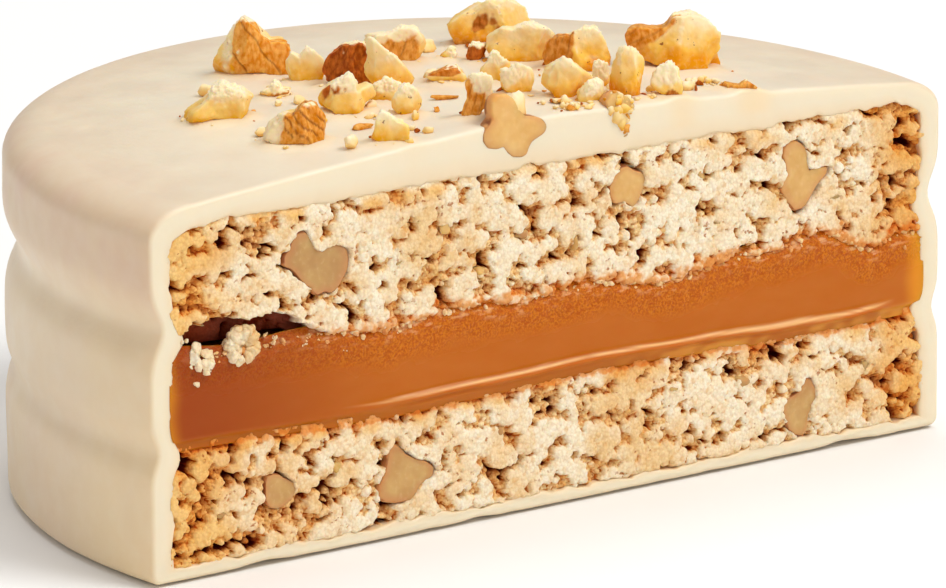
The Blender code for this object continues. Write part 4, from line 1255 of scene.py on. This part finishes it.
def noise_texture(tree, size, detail=3.0, stretch=(1, 1, 1)):
    """Procedural noise whose blotches are about size mm across."""
    mapping = tree.nodes.new("ShaderNodeMapping")
    mapping.inputs["Scale"].default_value = [1 / (size * MM) * s for s in stretch]
    tree.links.new(coordinates(tree), mapping.inputs["Vector"])
    texture = tree.nodes.new("ShaderNodeTexNoise")
    texture.inputs["Scale"].default_value = 1.0
    texture.inputs["Detail"].default_value = detail
    tree.links.new(mapping.outputs["Vector"], texture.inputs["Vector"])
    return texture.outputs["Fac"]


def grain_texture(tree, size):
    """Distance from the middle of procedural grains about size mm across."""
    texture = tree.nodes.new("ShaderNodeTexVoronoi")
    texture.inputs["Scale"].default_value = 1 / (size * MM)
    tree.links.new(coordinates(tree), texture.inputs["Vector"])
    return texture.outputs["Distance"]


def ramp(tree, factor, *stops):
    """Colour ramp from (place, (red, green, blue)) stops."""
    item = tree.nodes.new("ShaderNodeValToRGB")
    while len(item.color_ramp.elements) < len(stops):
        item.color_ramp.elements.new(0.5)
    for element, (place, colour) in zip(item.color_ramp.elements, stops):
        element.position = place
        element.color = (*colour, 1.0)
    tree.links.new(factor, item.inputs["Fac"])
    return item.outputs["Color"]


def level(tree, value, low, high, to_low=0.0, to_high=1.0):
    item = tree.nodes.new("ShaderNodeMapRange")
    item.inputs["From Min"].default_value = low
    item.inputs["From Max"].default_value = high
    item.inputs["To Min"].default_value = to_low
    item.inputs["To Max"].default_value = to_high
    tree.links.new(value, item.inputs["Value"])
    return item.outputs["Result"]


def calculate(tree, operation, a, b):
    item = tree.nodes.new("ShaderNodeMath")
    item.operation = operation
    for socket, value in zip(item.inputs, (a, b)):
        if isinstance(value, (int, float)):
            socket.default_value = value
        else:
            tree.links.new(value, socket)
    return item.outputs["Value"]


def blend_colours(tree, factor, a, b, mode="MIX"):
    """Mix of two colours, each a socket or a fixed (red, green, blue)."""
    item = tree.nodes.new("ShaderNodeMix")
    item.data_type = "RGBA"
    item.blend_type = mode
    for socket, value in ((item.inputs[0], factor), (item.inputs[6], a), (item.inputs[7], b)):
        if isinstance(value, (int, float)):
            socket.default_value = value
        elif isinstance(value, tuple):
            socket.default_value = (*value, 1.0)
        else:
            tree.links.new(value, socket)
    return item.outputs[2]


def add_bump(tree, shader, height, distance, strength=1.0):
    item = tree.nodes.new("ShaderNodeBump")
    item.inputs["Distance"].default_value = distance * MM
    item.inputs["Strength"].default_value = strength
    tree.links.new(height, item.inputs["Height"])
    tree.links.new(item.outputs["Normal"], shader.inputs["Normal"])


def coating_material():
    material, tree, shader = new_material("ivory_coating", 0.42, 0.35, (1.0, 0.75, 0.5), 0.9)
    # Painted light and shade: the top is given a paler colour than the side wall, and the wall's darker,
    # warmer colour stands in for its shade.
    top = (0.835, 0.76, 0.605)
    wall = (0.805, 0.66, 0.465)
    height = level(tree, attribute(tree, "height"), 0.95, 1.045)
    base = blend_colours(tree, height, wall, top)
    low = level(tree, attribute(tree, "height"), 0.0, 0.5, 0.55, 0.0)
    base = blend_colours(tree, low, base, (0.78, 0.60, 0.37))
    # Painted light: a paler band over the middle of the side wall.
    waist = calculate(tree, "MULTIPLY", level(tree, attribute(tree, "height"), 0.50, 0.64),
                      level(tree, attribute(tree, "height"), 0.84, 0.72))
    base = blend_colours(tree, calculate(tree, "MULTIPLY", waist, 0.6), base, (0.90, 0.75, 0.54))
    base = blend_colours(tree, calculate(tree, "MULTIPLY", attribute(tree, "near"), 0.5), base,
                         (0.84, 0.64, 0.36))
    blotch = level(tree, noise_texture(tree, 7.0, 2.0, (1, 1, 0.55)), 0.35, 0.70)
    base = blend_colours(tree, calculate(tree, "MULTIPLY", blotch, 0.35), base, (0.74, 0.56, 0.42))
    shoulder = calculate(tree, "MULTIPLY", level(tree, attribute(tree, "height"), 0.69, 0.80),
                         level(tree, attribute(tree, "height"), 1.03, 0.96))
    # Painted shade: the colour is multiplied darker over the shoulder.
    base = blend_colours(tree, shoulder, base, (0.93, 0.885, 0.86), "MULTIPLY")
    blush = calculate(tree, "MULTIPLY", shoulder, level(tree, noise_texture(tree, 5.0, 3.0), 0.44, 0.66))
    base = blend_colours(tree, calculate(tree, "MULTIPLY", blush, 0.55), base, (0.74, 0.53, 0.41))
    fine = level(tree, noise_texture(tree, 1.6, 3.0), 0.4, 0.7)
    base = blend_colours(tree, calculate(tree, "MULTIPLY", fine, 0.10), base, (0.93, 0.86, 0.72))
    base = blend_colours(tree, attribute(tree, "cut"), base, (0.86, 0.76, 0.57))
    # Painted shade and bounce glow: a warm, slightly darker tint on the coating round each nut's base.
    base = blend_colours(tree, calculate(tree, "MULTIPLY", attribute(tree, "nut_contact_shade"), 0.6), base,
                         (0.90, 0.68, 0.40))
    base = blend_colours(tree, calculate(tree, "MULTIPLY", attribute(tree, "warm"), 0.55), base,
                         (0.88, 0.60, 0.32))
    tree.links.new(base, shader.inputs["Base Color"])
    rough_map = level(tree, noise_texture(tree, 3.0, 3.0), 0.3, 0.7, 0.34, 0.52)
    tree.links.new(rough_map, shader.inputs["Roughness"])
    add_bump(tree, shader, noise_texture(tree, 0.9, 3.0), 0.05, 0.6)
    return material


def crumb_material():
    material, tree, shader = new_material("cookie_crumb", 0.80, 0.15, (1.0, 0.4, 0.12), 0.3)
    ground = attribute(tree, "ground")
    grain = attribute(tree, "shade")
    # Painted shade: the colour runs from cream to golden and dark brown the further back the crumb's ground
    # lies.
    colour = ramp(tree, ground, (0.05, (0.93, 0.84, 0.655)), (0.20, (0.92, 0.78, 0.54)),
                  (0.40, (0.91, 0.70, 0.39)),
                  (0.72, (0.86, 0.54, 0.23)), (1.15, (0.40, 0.12, 0.02)))
    tinted = ramp(tree, grain, (0.0, (0.86, 0.60, 0.34)), (0.22, (0.95, 0.84, 0.66)),
                  (0.6, (1.0, 0.975, 0.93)),
                  (1.0, (1.05, 1.07, 1.09)))
    colour = blend_colours(tree, level(tree, ground, 0.05, 0.3, 0.6, 1.0), colour, tinted, "MULTIPLY")
    patch = level(tree, noise_texture(tree, 4.0, 2.0), 0.46, 0.66)
    colour = blend_colours(tree, calculate(tree, "MULTIPLY", patch, 0.7), colour, (0.90, 0.66, 0.34),
                           "MULTIPLY")
    colour = blend_colours(tree, calculate(tree, "MULTIPLY", attribute(tree, "toast"), 0.90), colour,
                           (0.96, 0.66, 0.27), "MULTIPLY")
    # Painted shade: deep pits and the gap over the filling are multiplied down to dark maroon.
    deep = level(tree, attribute(tree, "deep"), 0.26, 0.52)
    colour = blend_colours(tree, calculate(tree, "MULTIPLY", deep, 0.95), colour, (0.26, 0.03, 0.002),
                           "MULTIPLY")
    # Painted shade in the crumb's hollows, and crisp dark lines of painted shade in its narrow crevices.
    hollow_shade = level(tree, attribute(tree, "hollow_shade"), 0.06, 0.45)
    colour = blend_colours(tree, calculate(tree, "MULTIPLY", hollow_shade, 0.85), colour, (0.84, 0.38, 0.055),
                           "MULTIPLY")
    crevice_shade = level(tree, attribute(tree, "crevice_shade"), 0.02, 0.11)
    colour = blend_colours(tree, calculate(tree, "MULTIPLY", crevice_shade, 0.88), colour, (0.76, 0.34, 0.05),
                           "MULTIPLY")
    soak = attribute(tree, "soak")
    soaked = calculate(tree, "MULTIPLY", soak, level(tree, ground, 0.0, 0.3, 0.25, 0.95))
    soaked = calculate(tree, "MAXIMUM", soaked, level(tree, soak, 0.66, 1.0, 0.0, 0.85))
    soaked = calculate(tree, "MULTIPLY", soaked, level(tree, grain, 0.75, 0.95, 1.0, 0.45))
    colour = blend_colours(tree, soaked, colour, (0.86, 0.40, 0.10), "MULTIPLY")
    cells = grain_texture(tree, 0.22)
    # Painted shade in the gaps between procedural grains, stronger on lower ground.
    gaps = calculate(tree, "MULTIPLY", level(tree, cells, 0.45, 0.75),
                     level(tree, ground, 0.08, 0.4, 0.2, 0.6))
    colour = blend_colours(tree, gaps, colour, (0.62, 0.34, 0.13), "MULTIPLY")
    clustered = level(tree, noise_texture(tree, 2.2, 1.0), 0.50, 0.62)
    specks = calculate(tree, "MULTIPLY", level(tree, noise_texture(tree, 0.45, 2.0), 0.64, 0.70), clustered)
    colour = blend_colours(tree, calculate(tree, "MULTIPLY", specks, 0.8), colour, (0.45, 0.15, 0.03),
                           "MULTIPLY")
    tree.links.new(colour, shader.inputs["Base Color"])
    shader.inputs["Specular IOR Level"].default_value = 0.12
    add_bump(tree, shader, calculate(tree, "SUBTRACT", 1.0, cells), 0.06, 0.9)
    return material


def caramel_material():
    material, tree, shader = new_material("milk_caramel", 0.27, 0.5, (1.0, 0.35, 0.08), 1.1)
    band = attribute(tree, "band")
    streak = level(tree, noise_texture(tree, 3.0, 3.0, (1, 1, 2.5)), 0.35, 0.7)
    colour = blend_colours(tree, calculate(tree, "MULTIPLY", streak, 0.25), (0.52, 0.130, 0.004),
                           (0.60, 0.19, 0.03))
    grit = noise_texture(tree, 0.16, 3.0)
    amber = blend_colours(tree, level(tree, grit, 0.40, 0.62), (0.47, 0.090, 0.001), (0.66, 0.20, 0.008))
    colour = blend_colours(tree, calculate(tree, "MULTIPLY", band, 0.9), colour, amber)
    pale = calculate(tree, "MULTIPLY", level(tree, noise_texture(tree, 0.6, 4.0, (0.6, 1, 1.4)), 0.52, 0.64),
                     attribute(tree, "high"))
    colour = blend_colours(tree, calculate(tree, "MULTIPLY", pale, 0.65), colour, (0.88, 0.50, 0.24))
    colour = blend_colours(tree, calculate(tree, "MULTIPLY", attribute(tree, "shaded"), 0.80), colour,
                           (0.31, 0.040, 0.0005))
    # Painted shade: darker caramel along the foot, under the lip.
    colour = blend_colours(tree, calculate(tree, "MULTIPLY", attribute(tree, "foot"), 0.75), colour,
                           (0.50, 0.14, 0.006))
    colour = blend_colours(tree, calculate(tree, "MULTIPLY", attribute(tree, "golden"), 0.6), colour,
                           (0.84, 0.38, 0.05))
    colour = blend_colours(tree, calculate(tree, "MULTIPLY", attribute(tree, "end"), 0.7), colour,
                           (0.84, 0.32, 0.01))
    # Painted highlight along the top of the lip's ridge.
    colour = blend_colours(tree, calculate(tree, "MULTIPLY", attribute(tree, "lip"), 0.85), colour,
                           (0.98, 0.64, 0.30))
    tree.links.new(colour, shader.inputs["Base Color"])
    tree.links.new(level(tree, band, 0.0, 1.0, 0.27, 0.36), shader.inputs["Roughness"])
    shader.inputs["Specular IOR Level"].default_value = 0.17
    add_bump(tree, shader, calculate(tree, "MULTIPLY", grit, level(tree, band, 0, 1, 0.06, 1)), 0.12, 0.9)
    return material


def walnut_material(name, scatter):
    material, tree, shader = new_material(name, 0.36, scatter, (1.0, 0.5, 0.15), 0.9)
    # Painted shade and translucent glow: saturated orange towards each piece's base, paler cream towards its
    # top.
    rise = attribute(tree, "rise")
    wander = calculate(tree, "ADD", rise, level(tree, noise_texture(tree, 1.4, 2.0), 0.3, 0.7, -0.18, 0.18))
    pale = ramp(tree, wander, (0.12, (0.88, 0.43, 0.003)), (0.42, (0.96, 0.64, 0.20)),
                (0.72, (0.98, 0.76, 0.42)),
                (1.0, (0.99, 0.85, 0.60)))
    amber = ramp(tree, wander, (0.15, (0.82, 0.28, 0.0003)), (0.46, (0.93, 0.51, 0.05)),
                 (0.78, (0.97, 0.68, 0.27)),
                 (1.0, (0.98, 0.79, 0.48)))
    colour = blend_colours(tree, attribute(tree, "tint"), pale, amber)
    fleck = level(tree, noise_texture(tree, 0.50, 4.0), 0.69, 0.71)
    colour = blend_colours(tree, calculate(tree, "MULTIPLY", fleck, 0.85), colour, (0.26, 0.06, 0.01))
    grains = level(tree, noise_texture(tree, 0.30, 3.0), 0.50, 0.72)
    colour = blend_colours(tree, calculate(tree, "MULTIPLY", grains, 0.15), colour, (0.97, 0.86, 0.64))
    colour = blend_colours(tree, calculate(tree, "MULTIPLY", attribute(tree, "froth"), 0.75), colour,
                           (0.99, 0.83, 0.59))
    streak = level(tree, noise_texture(tree, 0.42, 4.0, (1.6, 1, 0.8)), 0.36, 0.64)
    dark_skin = blend_colours(tree, streak, (0.25, 0.030, 0.0005), (0.54, 0.11, 0.003))
    light_skin = blend_colours(tree, streak, (0.74, 0.25, 0.006), (0.94, 0.50, 0.12))
    bark = blend_colours(tree, attribute(tree, "tone"), dark_skin, light_skin)
    bark = blend_colours(tree, calculate(tree, "MULTIPLY", attribute(tree, "vein"), 0.8), bark,
                         (0.24, 0.045, 0.003))
    colour = blend_colours(tree, attribute(tree, "skin"), colour, bark)
    tree.links.new(colour, shader.inputs["Base Color"])
    shader.inputs["Specular IOR Level"].default_value = 0.10
    add_bump(tree, shader, noise_texture(tree, 0.30, 3.0), 0.045, 0.6)
    return material


def slice_material():
    """Walnut flesh that the knife went through: tan, greyer in the middle, reddish towards its skin."""
    material, tree, shader = new_material("walnut_slice", 0.38, 0.5, (1.0, 0.5, 0.18), 1.2)
    cloud = level(tree, noise_texture(tree, 1.4, 2.0), 0.3, 0.7)
    dull = blend_colours(tree, cloud, (0.47, 0.25, 0.09), (0.56, 0.345, 0.13))
    fresh = blend_colours(tree, cloud, (0.78, 0.43, 0.12), (0.86, 0.54, 0.20))
    dots = level(tree, noise_texture(tree, 0.35, 3.0), 0.56, 0.70)
    flesh = blend_colours(tree, attribute(tree, "bright"), dull, fresh)
    flesh = blend_colours(tree, calculate(tree, "MULTIPLY", dots, 0.10), flesh, (0.88, 0.68, 0.40))
    rosy = level(tree, attribute(tree, "rim"), 0.66, 1.0)
    colour = blend_colours(tree, calculate(tree, "MULTIPLY", rosy, 0.55), flesh, (0.60, 0.22, 0.09))
    # Painted shade: patchy dark maroon on the rim, standing in for the shade of gaps round the slice.
    edge = level(tree, attribute(tree, "rim"), 0.94, 1.0)
    patchy = level(tree, noise_texture(tree, 1.1, 2.0), 0.42, 0.56)
    colour = blend_colours(tree, calculate(tree, "MULTIPLY", calculate(tree, "MULTIPLY", edge, patchy),
                                           0.8), colour,
                           (0.22, 0.045, 0.010))
    tree.links.new(colour, shader.inputs["Base Color"])
    shader.inputs["Specular IOR Level"].default_value = 0.25
    add_bump(tree, shader, noise_texture(tree, 0.5, 3.0), 0.04, 0.6)
    return material


# ---------------------------------------------------------------- studio

def make_floor():
    material, tree, shader = new_material("floor", 0.6)
    shade = ramp(tree, noise_texture(tree, 300.0, 1.0), (0.0, (0.93, 0.94, 0.96)),
                 (1.0, (0.94, 0.955, 0.98)))
    tree.links.new(shade, shader.inputs["Base Color"])
    shader.inputs["Specular IOR Level"].default_value = 0.0
    mesh = bpy.data.meshes.new("floor")
    body = bmesh.new()
    bmesh.ops.create_grid(body, x_segments=1, y_segments=1, size=3.0)
    body.to_mesh(mesh)
    body.free()
    floor = bpy.data.objects.new("floor", mesh)
    floor.location.z = -0.0002
    floor.data.materials.append(material)
    bpy.context.scene.collection.objects.link(floor)


def from_polar(target, azimuth, elevation, distance):
    """A place seen from the target at an azimuth (0 in front of the cut) and an elevation."""
    a, e = math.radians(azimuth), math.radians(elevation)
    back = Vector((math.sin(a) * math.cos(e), -math.cos(a) * math.cos(e), math.sin(e)))
    return target + back * distance


def look_at(item, place, target):
    item.location = place
    item.rotation_euler = (target - place).to_track_quat("-Z", "Y").to_euler()


def make_light(name, azimuth, elevation, distance, size, power, colour):
    light = bpy.data.lights.new(name, "AREA")
    light.size = size
    light.energy = power
    light.color = colour
    item = bpy.data.objects.new(name, light)
    bpy.context.scene.collection.objects.link(item)
    target = Vector((0, 0, 0.012))
    look_at(item, from_polar(target, azimuth, elevation, distance), target)


def make_studio():
    world = bpy.data.worlds.new("studio")
    bpy.context.scene.world = world
    world.use_nodes = True
    world.node_tree.nodes["Background"].inputs["Color"].default_value = (1.0, 0.985, 0.96, 1.0)
    world.node_tree.nodes["Background"].inputs["Strength"].default_value = 0.30
    make_light("key", 35, 55, 1.6, 0.7, 15.5, (1.0, 0.97, 0.92))
    make_light("front_fill", -15, 22, 1.6, 0.9, 3.6, (1.0, 0.95, 0.88))
    make_light("overhead", 160, 75, 1.6, 1.0, 8.4, (1.0, 0.98, 0.95))
    make_light("left_fill", -95, 20, 1.6, 0.9, 2.9, (1.0, 0.88, 0.76))
    bpy.context.scene.view_settings.view_transform = "Standard"


def make_camera():
    camera = bpy.data.cameras.new("camera")
    camera.sensor_width = 36.0
    camera.lens = 259.6
    item = bpy.data.objects.new("camera", camera)
    bpy.context.scene.collection.objects.link(item)
    target = Vector((3.09, 15.0 + CUT_Y, 11.18)) * MM
    look_at(item, from_polar(target, -35.487, 15.016, 0.48205), target)
    bpy.context.scene.camera = item


# ---------------------------------------------------------------- assembly

def main():
    coating_points, coating_faces, cut_mask, warm_mask = make_coating_mesh()
    on_top = smooth_step(coating_points[:, 2], 25.0, 25.6)
    # Painted shade round the nuts' bases on the coating's top.
    nut_contact_shade = bump(np.maximum(nut_distance(*coating_points[:, :2].T), 0.0), 0.0, 0.7) * on_top
    near = smooth_step(coating_points[:, 1], CUT_Y + 11, CUT_Y + 1) * smooth_step(coating_points[:, 2],
            25.0, 22.0)
    coating = build_mesh("coating_shell", coating_points, coating_faces,
                         {"cut": cut_mask, "warm": warm_mask, "nut_contact_shade": nut_contact_shade, "near": near,
                          "height": coating_points[:, 2] / RIM_HEIGHT})
    weld(coating)
    dress(coating, coating_material(), "coating", "coating")

    depth, shade, ground = crumb_relief()
    plane = knife_plane()
    depth = np.where(depth < plane, plane + FLATTENING * (depth - plane), depth)
    depth = cut_nut_pockets(depth)
    # The second and third rasters mark where painted shade goes: in hollows and in narrow crevices.
    rasters = depth, depth - blur(depth, 7), depth - blur(depth, 2), shade, ground
    crumb = crumb_material()
    bottom_low = lambda x, y: COOKIE_BOTTOM + 0 * x
    bottom_high = lambda x, y: filling_bottom(x, y) - GAP
    top_high = lambda x, y: COOKIE_TOP - corner_drop(x / INNER_RADIUS)
    top = make_layer("cookie_top_crumb", cookie_underside, top_high, (0.3, 1.1, 0.45), 0.0895,
                     crumb_front(rasters, cookie_underside, top_high, 25.0, True))
    dress(top, crumb, "crumb", "cookie_top")
    bottom = make_layer("cookie_bottom_crumb", bottom_low, bottom_high, (0.3, 0.35, 0.45), 0.088,
                        crumb_front(rasters, bottom_low, bottom_high, 25.5, False))
    dress(bottom, crumb, "crumb", "cookie_bottom")
    caramel = make_layer("caramel_band", filling_bottom, filling_top, (0.3, 0.35, 0.6), 0.128, filling_front)
    dress(caramel, caramel_material(), "filling", "filling")

    slices = slice_material()
    for node in SECTIONS:
        make_section(node, FACE_DEPTHS.get(node, 0.17), slices)
    walnut = walnut_material("walnut_kernel", 0.45)
    scraps = walnut_material("walnut_scraps", 0.1)
    for number, node in enumerate(CHUNKS):
        make_chunk(node, number, walnut)
    pieces, grains = loose_walnut()
    make_bits("crumbly_walnut", crumbly_lobes(CRUMBLY), 2, 0.55, scraps, "walnut", CRUMBLY)
    make_bits("walnut_loose_pieces", pieces, 3, 0.35, scraps, "walnut")
    make_bits("walnut_grains", grains, 2, 0.25, scraps, "walnut")
    make_bits("fallen_crumbs", fallen_crumbs(), 3, 0.35, crumb, "crumb")
    make_bits("crumb_walnut_bits", crumb_nuts(), 3, 0.20, slices, "walnut")
    make_bits("stuck_grains", stuck_grains(), 2, 0.25, crumb, "crumb")

    make_floor()
    make_studio()
    make_camera()


main()
